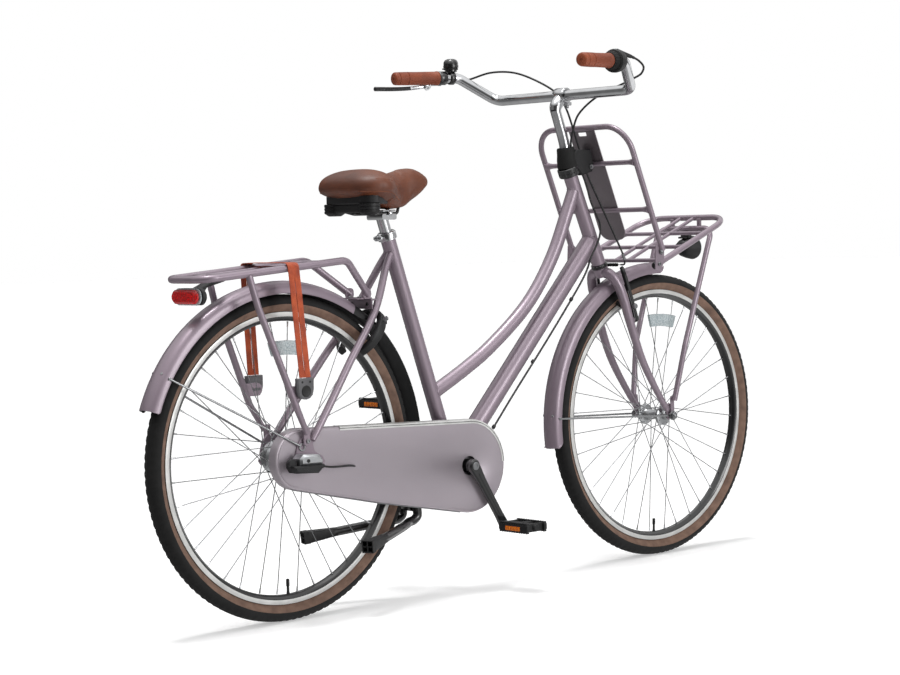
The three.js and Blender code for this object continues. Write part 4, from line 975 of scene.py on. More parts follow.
def crank_arm(side):
    """An arm with its raised rib, boss, cap and pedal spindle. The right one carries the chainring."""
    ahead = CRANK_AHEAD * -side
    across = np.cross(ahead, Y)
    piece = Piece()
    piece.slab(arm_outline(15.5, 11.6), BRACKET + Y * side * 75, ahead, across, -7, 7, soft=3)
    ridge = [(26, -3.4), (140, -2.6), (148, 0), (140, 2.6), (26, 3.4), (20, 0)]
    piece.slab(ridge, BRACKET + Y * side * 82.2, ahead, across, -0.8, 0.8, soft=0.6)
    boss_end = 44.5 if side < 0 else 40
    piece.rod(BRACKET + Y * side * boss_end, BRACKET + Y * side * 70, 16, sides=32)
    pedal = BRACKET + ahead * CRANK_LENGTH
    piece.rod(pedal + Y * side * 72, pedal + Y * side * 178, 5, look=1)
    piece.rod(pedal + Y * side * 81, pedal + Y * side * 88, 9, sides=6, look=1)
    cap = [(0, 0), (9.4, 0), (9.4, 1.2), (8.4, 2), (4.6, 2), (4.2, 0.9), (0, 0.7)]
    piece.turned(cap, BRACKET + Y * side * 81.8, Y * side, 28, look=1)
    if side < 0:
        piece.slab(toothed_outline(CHAINRING_TEETH), BRACKET - Y * 46, X, Z, -1.2, 1.2, soft=0.4, look=1)
        piece.slab(arc_points(0, 0, 34, 0, 352, 46), BRACKET - Y * 44.2, X, Z, -1.2, 1.2, soft=0.4)
    return piece


PEDAL_HALF_LENGTH = 28


def pedal(name, side):
    """Two serrated rails, end plates and a barrel, with an amber reflector front and back."""
    place = BRACKET - CRANK_AHEAD * side * CRANK_LENGTH
    piece = Piece()

    def at(x, y, z):
        return place + np.array([x, side * y, z])

    for end in SIDES:
        rail = at(end * PEDAL_HALF_LENGTH, 139, 0)
        piece.block((9, 94, 15), rail, round_edge=2)
        for i in range(12):
            y = 96 + i * 86 / 11
            for edge in SIDES:
                piece.block((9, 4.2, 5.5), at(end * PEDAL_HALF_LENGTH, y, edge * 9.2), round_edge=1)
        piece.block((1.6, 53, 13), at(end * 32.6, 139, -2), round_edge=0.7)
        for i in range(5):
            piece.block((2.4, 9, 10), at(end * 33, 119.4 + 9.8 * i, -2), round_edge=0.9, look=1)
    for y, width in ((98, 8), (176, 8), (139, 16)):
        piece.block((50, width, 19), at(0, y, 0), round_edge=3)
    for x in (-14, 14):
        piece.block((5, 78, 14), at(x, 137, 0), round_edge=1)
    piece.rod(at(0, 94, 0), at(0, 182, 0), 9.5, sides=28)
    piece.turned([(0, 0), (8, 0), (8, 1.6), (6.5, 3), (0, 3)], at(0, 182, 0), Y * side, 24)
    body = f"pedal_{name}"
    piece.made(f"pedal_{name}_body", body, [black_plastic, amber_lens], [body], slot="black_plastic")


crank_arm(-1).made("crank_arm_right", "crankset", [black_metal, steel], ["crank_right"], slot="black_metal")
crank_arm(1).made("crank_arm_left", "crankset", [black_metal, steel], ["crank_left"], slot="black_metal")
pedal("right", -1)
pedal("left", 1)


# Axles and the hub's shift box

def axle_hardware(name, body, axle, washers, nuts, half_low, half_high):
    """A threaded axle with washers and domed hexagon nuts."""
    piece = Piece().rod(axle + Y * half_low, axle + Y * half_high, 5)
    for low, high, radius in washers:
        piece.rod(axle + Y * low, axle + Y * high, radius, sides=28)
    for low, side in nuts:
        piece.nut(axle + Y * low, Y * side, 10, 6.5)
    piece.made(f"{name}_hardware", body, [steel], [name], slot="steel")


rear_washers = [(-58.2, -52.4, 9), (42.4, 44.7, 9), (48.5, 58.2, 9), (64.8, 66, 11.5), (-66, -64.8, 10)]
front_washers = [(46.4, 49.7, 8.5), (-49.7, -46.4, 8.5), (63.4, 64.8, 12), (-64.8, -63.4, 12)]
axle_hardware("rear_axle", "frame", REAR_AXLE, rear_washers, [(66, 1)], -69.8, 74)
axle_hardware("front_axle", "steering", FRONT_AXLE, front_washers, [(64.8, 1), (-64.8, -1)], -73, 73)

shift_box_lower = [(-50, 343), (-42, 332), (18, 328), (30, 338), (30.5, 346), (-50, 348)]
shift_box_upper = [(-32, 348), (30.6, 346), (31, 357), (21, 368), (-22, 371), (-32, 362)]


def hub_shift_box():
    """The two-part cover over the axle's right end, with its cable entry, nut and screw."""
    middle = np.array([0, -87.1, 0.0])
    piece = Piece()
    piece.slab(shift_box_lower, middle, X, Z, -16.9, 16.9, soft=4, look=1)
    piece.slab(shift_box_upper, middle, X, Z, -16.9, 16.9, soft=5)
    piece.rod((-44, -92, 352), (-44, -76, 352), 11, 9, sides=24, look=1)
    piece.nut((-4, -70.4, 356), -Y, 12, 8, look=1)
    piece.rod((28, -88, 342), (42, -88, 340.5), 6.4, 4.4, look=1)
    piece.rod((-4, -70.4, 356), (-4, -66.2, 356), 13, sides=32, look=1)
    piece.screw((-12, -104, 357), -Y, 4, 1.6, look=1)
    piece.made("hub_shift_cover", "frame", [alloy, black_plastic], ["hub_shift_box"], slot="alloy")


hub_shift_box()


# Fenders

FENDER_SHEET = 1.4
FENDER_BEAD = 1.2
GUARD_DEPTH = 0.3
FENDER_DEPTH = 27


def fender(name, body, node, axle, radius, start, end, narrower, eye, edge_angle, rivet_angle, corner,
           painted_shade_below=-90):
    """A rolled sheet round the wheel with beaded edges, and a wire stay on each side.

    Its flanks' corners are rounded. Below an angle it is shallow and all black behind the seat tube, as
    painted shade, and its inner face is black as painted shade too."""
    half = [(27.5, -27), (27.1, -22), (26.3, -16.5), (24.4, -11.4), (21, -7), (16, -3.7), (9.5, -1.3),
            (4.5, -0.3)]
    half = [(u - narrower * smoothstep(u, 0, 20), w) for u, w in half]
    outer = np.array([(-u, w) for u, w in half] + [(0, 0)] + half[::-1])
    sideways = np.sign(outer[:, 0]) * FENDER_SHEET * (np.abs(outer[:, 0]) > 12)
    inner = outer - np.column_stack([sideways, np.full(len(outer), FENDER_SHEET)])
    inner[:, 1] = np.maximum(inner[:, 1], -FENDER_DEPTH)
    section = np.concatenate([outer, inner[::-1]])
    # Inner faces take the black finish: painted shade for the sheet's shadowed inside.
    looks = [0] * (len(outer) - 1) + [1] * len(outer) + [0]
    ends = np.degrees(corner / radius) * np.sin(np.linspace(0, math.pi / 2, 9)[:-1]) ** 2
    straight_run = np.linspace(start + ends[-1] + 0.5, end - ends[-1] - 0.5, 100)
    angles = np.concatenate([start + ends, straight_run, end - ends[::-1]])
    rings, beads = [], {-1: [], 1: []}
    for angle in angles:
        out = wheelwise(math.radians(angle))
        from_end = math.radians(min(angle - start, end - angle)) * radius
        cut = corner * (1 - math.sqrt(1 - (1 - min(1, from_end / corner)) ** 2))
        deep = GUARD_DEPTH + (1 - GUARD_DEPTH) * smoothstep(angle, painted_shade_below - 14, painted_shade_below)
        level = np.maximum(section[:, 1:], cut - FENDER_DEPTH) * deep
        rings.append(axle + (radius + level) * out + section[:, :1] * Y)
        for side in SIDES:
            beads[side].append(axle + (radius - (26.4 - cut) * deep) * out + Y * side * (26.9 - narrower))
    painted_from = int(np.searchsorted(angles, painted_shade_below))
    piece = Piece().loft(rings[painted_from:], looks)
    # The rings below that angle are all black: painted shade.
    if painted_from:
        piece.loft(rings[:painted_from + 1], look=1)
    for side in SIDES:
        piece.tube(beads[side][painted_from:], FENDER_BEAD, 8)
    piece.made(f"{name}_sheet", body, [paint, black_plastic], [node], smooth=50, slot="paint")

    stays = Piece()
    for side in SIDES:
        hub_end = axle + np.array([eye[0], side * (eye[1] + 1.7), eye[2]])
        edge = wheelwise(math.radians(edge_angle))
        sheet_end = axle + (radius - 20) * edge + Y * side * (28.6 - narrower)
        along = unit(sheet_end - hub_end)
        stays.rod(hub_end + along * 6, sheet_end, 2.4, sides=14)
        stays.turned([(5.6, -1), (8.6, -1), (9, -0.6), (9, 0.6), (8.6, 1), (5.6, 1)],
                     axle + np.array([eye[0], side * eye[1], eye[2]]), Y, 26)
        stays.screw(sheet_end - Y * side * 1.4, Y * side, 3.6, 2.2)
        out = wheelwise(math.radians(rivet_angle))
        rivet = axle + out * (radius - 3.9) + Y * side * (16 - narrower / 2)
        stays.screw(rivet, unit(Y * side * 0.5 + out), 2.8, 1.2)
    stays.made(f"{name}_stays", body, [wire], slot="steel")


fender("rear_fender", "frame", "rear_fender", REAR_AXLE, 385, -17, 160, 0, (2, 65.9, 27), 148, 147.4, 6, 58)
fender("front_fender", "steering", "front_fender", FRONT_AXLE, 386, 87, 188, 2.5, (0, 57.6, 0), 177, 176,
       17)


# Rear carrier

RACK_TUBE = 8
RACK_SLOPE = 0.075


def rack_point(x, y):
    """A point on the carrier's deck, which rises a little towards the saddle."""
    return np.array([x, y, 773.9 + RACK_SLOPE * (x - 50)])


rack_leg = [(-131, 72, 757), (-112, 75, 690), (-24, 83, 472), (9, 75.2, 412)]
strap_lug = [(-42, 492), (-24, 489), (-6, 488), (3, 489), (9, 495), (11, 503), (9, 510), (3, 515),
             (-6, 518), (-50, 516)]


def rear_carrier():
    """Bent rails on two legs, with cross bars, strap lugs and the plate that bolts to the frame."""
    rail = [(229, -31, 701), rack_point(138, -70), rack_point(-245, -70), rack_point(-245, 70),
            rack_point(138, 70),
            (229, 31, 701)]
    piece = Piece().tube(bent_line(rail, 36, 12), RACK_TUBE, 28)
    for side in SIDES:
        leg = bent_line([(x, side * y, z) for x, y, z in rack_leg], 30, 8)
        piece.tube(leg, lambda t: RACK_TUBE - 0.5 - 1.6 * smoothstep(t, 0.93, 1), 24)
        piece.block((18, 4, 40), (12, side * 69.4, 405), round_edge=6)
        piece.slab(strap_lug, Y * side * 81, X, Z, -2, 2, soft=0.8)
        piece.block((24, 4, 24.5), (226, side * 30, 703.7), round_edge=9)
        piece.screw((226, side * 32, 703.7), Y * side, 6.2, 3.4, look=1)
        for x, z in ((14, 395), (12, 416)):
            piece.screw((x, side * 71.4, z), Y * side, 5, 3, look=1)
    for x in (-170, -20, 90):
        piece.rod(rack_point(x, -68), rack_point(x, 68), 5, sides=18)
    for y in (-24, 24):
        piece.rod(rack_point(-240, y), rack_point(90, y), 4, sides=16)
    piece.block((46, 58, 3.5), (220, 0, 693.2))
    for y in (-16, 16):
        piece.screw((216, y, 695), Z, 5, 3, look=1)
    piece.made("rear_carrier_tubes", "frame", [paint, steel], ["rear_rack"], slot="paint")


def rounded_bar(half_width, low, high, steps=12):
    """A level bar's outline with half round ends."""
    radius = (high - low) / 2
    right = arc_points(half_width - radius, low + radius, radius, -90, 90, steps)
    left = arc_points(radius - half_width, low + radius, radius, 90, 270, steps)
    return np.concatenate([right, left])


def tail_light():
    """A long case on a holder under the carrier, with a clear edge and a ribbed red lens."""
    face = rounded_bar(48, 698, 734)
    housing = Piece().slab(face, (0, 0, 0), Y, Z, -236, -220, soft=4)
    housing.slab(face, (0, 0, 0), Y, Z, -239, -235.5, soft=1, look=1)
    holder = [(-222, 712), (-212, 713), (-196, 734), (-150, 745), (-150, 750.6), (-176, 750.6), (-222, 731)]
    housing.slab(holder, (0, 0, 0), X, Z, -14, 14, soft=2)
    housing.block((30, 30, 3), rack_point(-168, 0) - Z * 7.6, round_edge=1.4)
    for y in (-10, 10):
        housing.screw(rack_point(-160, y) - Z * 9.4, -Z, 3.4, 2.4)
    housing.made("tail_light_case", "frame", [black_plastic, clear_lens], ["tail_light_housing"],
                 slot="black_plastic")
    lens_piece = Piece().slab(rounded_bar(45, 701, 731), (0, 0, 0), Y, Z, -250, -238.4, soft=4)
    for y in np.linspace(-30, 30, 13):
        lens_piece.rod((-249.2, y, 707), (-249.2, y, 725), 1.6, sides=8)
    lens_piece.made("tail_light_red_lens", "frame", [red_lens], ["tail_light_lens"], slot="red_lens")


rear_carrier()
tail_light()


# Strap and its hooks

STRAP_HALF_WIDTH = 15
STRAP_SLIT = 0.9
strap_line = [(87.5, 534), (83.6, 668), (80.2, 768), (78.6, 775), (74, 778.8), (62, 780), (20, 780.3)]


def strap_place(x, y, z):
    """The strap is sheared: it leans back as it rises and runs slightly askew over the rails."""
    return (x - 0.03 * y - 0.07 * z + 33, y, z)


def strap_band(piece, inner, outer):
    """One of the two bands, between its edge at the slit and its outer edge."""
    line = smooth_line([(0, y, z) for y, z in strap_line], 10)
    line = np.concatenate([line, [(0, -y, z) for _, y, z in line[::-1]]])
    along = np.gradient(line, axis=0)
    along /= np.linalg.norm(along, axis=1, keepdims=True)
    rings = []
    for place, forward in zip(line, along):
        out = np.cross(forward, X)
        out = out if out @ (place - [0, 0, 650]) > 0 else -out
        height = place[2]
        slit = smoothstep(height, 536, 552) * (1 - smoothstep(height, 738, 752))
        low, high = sorted((inner * (0.1 + 0.9 * slit), outer))
        middle = (low + high) / 2
        section = [(low, -0.8), (middle, -1), (high, -0.8), (high + 0.2, 0), (high, 0.8), (middle, 1),
                   (low, 0.8), (low - 0.2, 0)]
        rings.append([strap_place(*(place + X * x + out * thick)) for x, thick in section])
    piece.loft(rings)


def strap():
    """One strap, slit down each side into two bands."""
    piece = Piece()
    strap_band(piece, -STRAP_SLIT, -STRAP_HALF_WIDTH)
    strap_band(piece, STRAP_SLIT, STRAP_HALF_WIDTH)
    piece.made("carrier_strap", "frame", [webbing], ["rack_strap"], smooth=50, slot="strap")


def strap_hook(name, side):
    """A cap over the strap's end with two small screws and a round push button."""
    outline = [(-28, 533), (-27.4, 508), (-24, 496), (-16, 489), (-4, 487), (6, 489), (14, 496),
               (17.6, 508), (18, 533)]
    piece = Piece().slab(outline, Y * side * 89.2, X, Z, -5.8, 5.8, soft=2.6)
    piece.turned([(0, 0), (12.6, 0), (12.6, 1.2), (11.4, 2), (9.6, 1.4), (0, 1)], (-5, side * 94.4, 505),
                 Y * side, 32, look=1)
    for x in (-15, 6):
        piece.screw((x, side * 94.6, 525), Y * side, 2.6, 1, look=1)
    piece.block((20, 3, 6), (-5, side * 78.2, 503), round_edge=2.6)
    piece.made(f"{name}_cap", "frame", [grey_plastic, black_plastic], [name], slot="black_metal")


strap()
strap_hook("strap_hook_right", -1)
strap_hook("strap_hook_left", 1)


# Seat clamp, post and saddle

POST_TOP = 872
POST_LENGTH = 270
POST_RADIUS = 13.4
RAIL_Z = 880.5


def seat_clamp():
    """A chrome band round the seat tube's top, with two ears and the bolt through them."""
    top = seat_tube_point(SEAT_TUBE_TOP)
    piece = Piece().turned(
        [(17.3, -11), (21, -11), (21.5, -10.4), (21.5, 3.6), (20.6, 5), (18, 7), (14.2, 7), (14.2, 0.4),
         (17.3, 0.4)],
        top, SEAT_UP, 40)
    ear = seat_tube_point(825) - 28 * X
    for side in SIDES:
        piece.block((13, 6, 12), ear + Y * side * 4.4, right=unit([1, 0, SEAT_SLOPE]), up=SEAT_UP,
                    round_edge=4)
        piece.nut(ear + Y * side * 7.4, Y * side, 5.4, 4.4)
    piece.rod(ear - Y * 12, ear + Y * 12, 2.8)
    piece.made("seat_clamp_ring", "frame", [chrome], ["seat_clamp"], slot="chrome")


def seatpost():
    """The post with the clamp that holds the saddle's rails."""
    head = seat_tube_point(POST_TOP)
    top = np.array([head[0], 0, RAIL_Z])
    piece = Piece().rod(seat_tube_point(POST_TOP - POST_LENGTH), head, POST_RADIUS, sides=36)
    piece.block((44, 54, 14), top - Z * 7, round_edge=5)
    piece.block((12, 22, 10), top + Z * 2)
    piece.block((38, 54, 4), top + Z * 6.4, round_edge=1.8)
    piece.rod(top - Y * 29, top + Y * 29, 4)
    for side in SIDES:
        piece.nut(top + Y * side * 27, Y * side, 7, 5)
    piece.made("seatpost_tube", "saddle_post", [chrome], ["seatpost"], slot="chrome")


def saddle_base():
    """The black shell under the cushion, with its rails, cross bar and two spring pods."""
    plan = [(194, 50), (197, 64), (206, 77), (222, 82), (248, 72), (278, 50), (304, 31), (322, 18),
            (326, 0)]
    outline = [*plan, *flipped(plan[:-1])]
    piece = Piece().slab(outline, (0, 0, 0), X, Y, 902, 924, soft=3)
    rail = [(214, -36, 889), (240, -22, RAIL_Z), (329, -22, RAIL_Z), (342, -14, 900)]
    for side in SIDES:
        piece.tube(bent_line(on_side(side, rail), 10, 6), 3.6, 16, look=1)
        pod = [(0, 877), (13, 877), (15.4, 878), (23, 883), (24, 884.6), (24, 888), (22.8, 888.8),
               (22.8, 890), (24, 890.8),
               (24, 895), (22.8, 895.8), (22.8, 897), (24, 897.8), (24, 903), (22, 904), (0, 904)]
        piece.turned(pod, (216, side * 60, 0), Z, 36)
    piece.block((24, 120, 20), (212, 0, 893.5), round_edge=4)
    piece.made("saddle_shell", "saddle_post", [black_plastic, black_metal], ["saddle_base"],
               slot="black_plastic")


SADDLE_REAR = 166
SADDLE_FRONT = 438
SADDLE_REAR_EDGE = 919
SADDLE_FLANK = 17
ROUNDNESS = 0.72
SWELL_ROOM = 1
SWELL_LIMIT = 0.009


def saddle_half_width(x):
    """Half the saddle's width, from its broad tail to its nose."""
    return 33 + 80 * (1 - smoothstep(x, 225, 368))


def saddle_top(x):
    """The crown's height: it dips behind the nose and falls at its tip."""
    return 977 - 16 * smoothstep(x, 215, 300) + 22 * smoothstep(x, 310, 395) - 6 * smoothstep(x, 400, 438)


def saddle_underside(x):
    """The flanks' lower edge: it drops to the lobes beside the nose, then rises under the nose."""
    lobes = 24 * smoothstep(x, 225, 335)
    return SADDLE_REAR_EDGE - lobes + 22 * smoothstep(x, 350, 392) + 18 * smoothstep(x, 386, 436)


def saddle_form(steps=64, sides=56, shrink=SWELL_ROOM):
    """The padding before it swells: rings from tail to nose, crowned and drawn in at the sides."""
    middle = (SADDLE_REAR + SADDLE_FRONT) / 2
    half = (SADDLE_FRONT - SADDLE_REAR) / 2 - shrink
    rings = []
    for along in np.sin(np.linspace(-0.985, 0.985, steps) * math.pi / 2):
        full = (1 - abs(along) ** 4) ** (1 / 2.6)
        x = middle + half * along
        waist = saddle_underside(x) + SADDLE_FLANK
        angle = 2 * math.pi * np.arange(sides) / sides
        side = np.sign(np.cos(angle)) * np.abs(np.cos(angle)) ** ROUNDNESS
        lift = np.sign(np.sin(angle)) * np.abs(np.sin(angle)) ** ROUNDNESS
        up = saddle_top(x) - waist - shrink
        down = SADDLE_FLANK - shrink
        height = np.where(lift > 0, up, down) * min(1, full * 1.05)
        width = (saddle_half_width(x) - shrink) * full
        rings.append(np.column_stack([np.full(sides, x), side * width, waist + lift * height]))
    return rings


def evaluated(piece):
    """The piece's mesh with its modifiers applied."""
    graph = bpy.context.evaluated_depsgraph_get()
    graph.update()
    return bpy.data.meshes.new_from_object(piece.evaluated_get(graph))


def swollen(piece, voxel=0.0048, frames=20):
    """The piece blown up as cloth under pressure, each point held within a limit of its start."""
    remesh = piece.modifiers.new("even_faces", "REMESH")
    remesh.mode = "VOXEL"
    remesh.voxel_size = voxel
    piece.data = evaluated(piece)
    piece.modifiers.clear()
    start = np.array([v.co for v in piece.data.vertices])
    cloth = piece.modifiers.new("pressure", "CLOTH")
    cloth.settings.use_pressure = True
    cloth.settings.uniform_pressure_force = 4
    cloth.settings.effector_weights.gravity = 0
    scene = bpy.context.scene
    for number in range(1, frames + 1):
        scene.frame_set(number)
    swelled = np.array([v.co for v in evaluated(piece).vertices])
    scene.frame_set(1)
    piece.modifiers.clear()
    move = swelled - start
    length = np.linalg.norm(move, axis=1, keepdims=True)
    move *= np.minimum(1, SWELL_LIMIT / np.maximum(length, 1e-9))
    piece.data.vertices.foreach_set("co", (start + move).ravel())
    smooth = piece.modifiers.new("fine", "SUBSURF")
    smooth.levels = smooth.render_levels = 1
    piece.data = evaluated(piece)
    piece.modifiers.clear()
    piece.data.shade_smooth()


def saddle():
    """The swollen cushion, with its piping and stitches laid on its skin."""
    cushion = Piece().loft(saddle_form()).made("saddle_cushion", None, [saddle_skin], smooth=180)
    swollen(cushion)
    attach(cushion, "saddle_post")
    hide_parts("saddle")
    mesh = cushion.data
    skin = BVHTree.FromPolygons([v.co for v in mesh.vertices], [f.vertices for f in mesh.polygons])
    seams = Piece()
    for side in SIDES:
        for points, radius in ((piping_line, 1), (stitch_line, 0.6)):
            line = []
            for x, _, z in smooth_line([(x, 0, z) for x, z in points], 12):
                start = Vector(metres((x, side * 150, z)))
                hit = skin.ray_cast(start, Vector((0, -side, 0)), 0.16)[0]
                if hit:
                    line.append(np.array(hit) * 1000 + [MIDDLE_X, 0, 0])
            seams.tube(line, radius, 8)
    seams.made("saddle_seams", "saddle_post", [seam_thread], slot="saddle")


piping_line = [(182, 930), (200, 929), (230, 928), (262, 925), (296, 917), (322, 909)]
stitch_line = [(210, 957), (236, 955), (262, 950), (290, 944), (318, 937)]

seat_clamp()
seatpost()
saddle_base()
saddle()


# Ring lock

LOCK_CENTRE = np.array([230.4, 0, 614.2])
LOCK_UP = unit([0.616, 0, 0.788])
LOCK_FORWARD = np.cross(Y, LOCK_UP)


LOCK_RING = 58


def lock_point(degrees, radius=LOCK_RING, deep=0.0):
    """A point of the lock's ring at an angle, from the rider's left towards the top."""
    angle = math.radians(degrees)
    out = Y * math.cos(angle) + LOCK_UP * math.sin(angle)
    return LOCK_CENTRE + radius * out + LOCK_FORWARD * deep


def lock_arc(radius, start, end, steps=60, deep=0.0):
    """Points along the lock's ring, between two angles in degrees."""
    return [lock_point(degrees, radius, deep) for degrees in np.linspace(start, end, steps)]


def ring_lock():
    """A horseshoe case with a wider lock body and a key in it."""
    section = rounded_box(19.2, 15.6, 4)
    piece = Piece().sweep(lock_arc(LOCK_RING, -55, 235, deep=1.2), section, first=LOCK_FORWARD)
    piece.tube(lock_arc(66.6, -30, 60, deep=1.2), 2, 10)
    piece.sweep(lock_arc(LOCK_RING, 150, 200, 16), rounded_box(21.5, 16, 5), first=LOCK_FORWARD)
    key = lock_point(122)
    piece.rod(key, key + LOCK_FORWARD * 20, 7.4, 6.6, sides=24)
    piece.block((4, 15, 17), key + LOCK_FORWARD * 18, round_edge=1.8)
    for degrees in (60, 92):
        piece.screw(lock_point(degrees) - LOCK_FORWARD * 8, -LOCK_FORWARD, 4, 2, look=1)
    piece.made("ring_lock_case", "frame", [black_plastic, steel], ["ring_lock"], slot="black_plastic")


ring_lock()


# Kickstand

STAND_PIVOT = np.array([360.0, 0, 215])
stand_leg = [(360, 25.5, 215), (361, 25.5, 192), (350, 25.5, 183), (335, 26.5, 180), (315, 38, 177),
             (269, 60, 171),
             (210, 85, 163), (160, 103, 158)]


def kickstand():
    """Two legs from one pivot, each with a square foot whose end is ribbed both ways."""
    piece = Piece().rod(STAND_PIVOT - Y * 26, STAND_PIVOT + Y * 26, 9, sides=28)
    for side in SIDES:
        leg = smooth_line([(x, side * y, z) for x, y, z in stand_leg], 8)
        piece.tube(leg, 10.4, 24)
        start = np.array([212, side * 84.2, 163.3])
        end = np.array([136, side * 113.5, 155])
        along = unit(end - start)
        across = unit(np.cross(along, Z))
        rise = np.cross(across, along)
        hollow = end - along * 14
        piece.sweep(smooth_line([start, hollow], 8), lambda t: rounded_box(19 + 9 * t, 19 + 9 * t, 5),
                    first=rise, look=1)
        rib = [(-15, -14), (0, -14), (0, 14), (-15, 14)]
        for shift in (-12.8, 0, 12.8):
            piece.slab(rib, end + across * shift, along, rise, -1.3, 1.3, look=1)
            piece.slab(rib, end + rise * shift, along, across, -1.3, 1.3, look=1)
    piece.made("kickstand_legs", "kickstand", [black_metal, black_plastic], ["kickstand"],
               slot="black_metal")


kickstand()


# Fork and headset cover

fork_blade = [
    (1011, 6, 725), (1013, 28, 720), (1025, 43, 695), (1040, 49, 655), (1057, 52, 600),
    (1098, 53, 502), (1158, 51.5, 410), (1188, 51.5, 370),
]
fork_tip = [(1176, 380), (1192, 388), (1206, 372), (1208, 352), (1202, 344), (1201.4, 356), (1196, 361.4),
            (1190.6, 356),
            (1190.8, 345), (1186, 350), (1184, 362)]
FORK_BLADE = 12.5
BRAKE_PIVOT = np.array([1073.0, -54, 606])
BRAKE_FORWARD = unit([0.969, 0, 0.248])
BRAKE_UP = np.array([-BRAKE_FORWARD[2], 0, BRAKE_FORWARD[0]])


def on_pin(side, ahead):
    """A point so far ahead of a brake arm's pivot along its pin."""
    return BRAKE_PIVOT * [1, -side, 1] + BRAKE_FORWARD * ahead


def fork():
    """The steerer with its crown, and two bent blades with their dropouts and brake pins."""
    piece = Piece().rod(on_steer(-12), on_steer(262), 12.7, sides=32)
    crown = [(0, -24), (16, -24), (17, -22.6), (18.4, -12), (19.4, -4), (19, -1.5), (0, -1.5)]
    piece.turned(crown, STEER_BASE, STEER_UP, 40)
    for side in SIDES:
        blade = smooth_line(on_side(side, fork_blade), 10)
        piece.tube(blade, lambda t: FORK_BLADE - 5 * smoothstep(t, 0.3, 1), 32)
        piece.slab(fork_tip, Y * side * 53, X, Z, -3, 3, soft=1)
        piece.rod(on_pin(side, -22), on_pin(side, 9), 4.6)
        piece.rod(on_pin(side, -18), on_pin(side, -4), 8, 6.4)
        top, lower = (np.array(p, float) for p in on_side(side, fork_blade)[:2])
        downward = unit(lower - top) + [0, 0, -0.001]
        weld_bead(piece, weld_line(lower, downward, 12.4, STEER_BASE, STEER_UP, 18))
    piece.made("fork_blades", "steering", [paint], ["fork"], slot="paint")


def headset_cover():
    """A clamped plastic ring under a rubber boot, with a block in front that guides the cables."""
    ring = [(22.2, 0), (25.6, 0), (26.5, 1), (26.5, 8), (25.2, 9), (25.2, 10.4), (26.5, 11.4), (26.5, 20),
            (25, 21.4),
            (22.2, 21.4)]
    piece = Piece().turned(ring, on_steer(247), STEER_UP, 44)
    for i in range(7):
        out = steer_out(math.radians(100 + 26 * i))
        piece.rod(on_steer(249) + out * 25.6, on_steer(265) + out * 25.6, 1.7, sides=10)
    boot_low, boot_high = on_steer(262), np.array([896.5, 0, 1031])
    length = np.linalg.norm(boot_high - boot_low)
    boot = [(15.5, 4), (25, 4), (25.4, 8), (24.6, length * 0.45), (22.4, length * 0.7), (21.4, length - 3),
            (20, length),
            (16.5, length - 1), (15.5, length * 0.6)]
    piece.turned(boot, boot_low, boot_high - boot_low, 44, look=1)
    block = [(902, 990), (904, 1016), (912, 1026), (961, 1027), (967, 1012), (971, 986), (967, 973),
             (932, 963)]
    for low, high, inner in ((-24, -5, 0), (-5, 5, 4), (5, 24, 0)):
        piece.slab(inset(block, inner), (0, 0, 0), X, Z, low, high, soft=2.4, look=3)
    for low, high, radius in ((-30, 30, 3.4), (-27, -23, 6)):
        piece.rod((961, low, 984), (961, high, 984), radius, look=2)
    piece.made("headset_boot", "steering", [black_metal, rubber, steel, black_plastic], ["headset_cover"],
               slot="black_plastic")


fork()
headset_cover()


# Stem, bar and what is clamped to it

BAR_RADIUS = 12.5
STEM_RADIUS = 13
bar_half = [(631.6, -320, 1213), (809, -284, 1216.7), (890, -228, 1157)]
BAR_END = np.array(bar_half[0])
BAR_ALONG = unit(np.subtract(bar_half[1], bar_half[0]))
BAR_BORE = 13.4


def on_bar(side, distance):
    """A point on the bar's grip run, so far from its end. side is 1 on the rider's left."""
    return (BAR_END + BAR_ALONG * distance) * [1, -side, 1]


def along_bar(side):
    """The grip run's direction, from its end towards the stem."""
    return BAR_ALONG * [1, -side, 1]


def bar_collar(side, low, high, outer, soft, sides):
    """A round clamp on the bar's grip run, between two distances from its end."""
    profile = [(BAR_BORE, low), (outer - 0.6, low), (outer, low + soft), (outer, high - soft),
               (outer - 0.6, high), (BAR_BORE, high)]
    return Piece().turned(profile, on_bar(side, 0), along_bar(side), sides)


def handlebar():
    """The bent bar, from grip to grip."""
    corners = [*bar_half, *mirrored(bar_half)[::-1]]
    Piece().tube(bent_line(corners, 36, 14), BAR_RADIUS, 36).made(
        "handlebar_tube", "steering", [chrome], ["handlebar"], slot="chrome")


def stem():
    """A quill that rises from the cover, leans back to the bar and ends in a clamp with its bolt."""
    path = [on_steer(266.5), (899, 0, 1006), (893.5, 0, 1040), (865.5, 0, 1122)]
    piece = Piece().rod(on_steer(170), on_steer(272), 11.1, sides=28)
    piece.tube(smooth_line(path, 10), STEM_RADIUS, 36)
    neck = smooth_line([(865.5, 0, 1119), (868, 0, 1131), (876, 0, 1142), (888, 0, 1152)], 8)
    piece.tube(neck, lambda t: 13.4 + 2 * math.sin(math.pi * t), 36)
    clamp = [(13.2, -17), (17.4, -17), (18.5, -15.6), (18.5, 15.6), (17.4, 17), (13.2, 17)]
    piece.turned(clamp, (890, 0, 1157), Y, 44)
    for z, height in ((1137.4, 8.6), (1148.4, 7)):
        piece.block((16, 20, height), (905, 0, z), round_edge=2)
    piece.rod((905, 0, 1124), (905, 0, 1152), 3)
    piece.screw((905, 0, 1133), -Z, 5.4, 6.5, look=1)
    piece.rod((876, 0, 1130), (873, 0, 1137), 7.4, look=1)
    piece.made("stem_column", "steering", [alloy_bright, steel], ["stem"], smooth=40, slot="alloy")


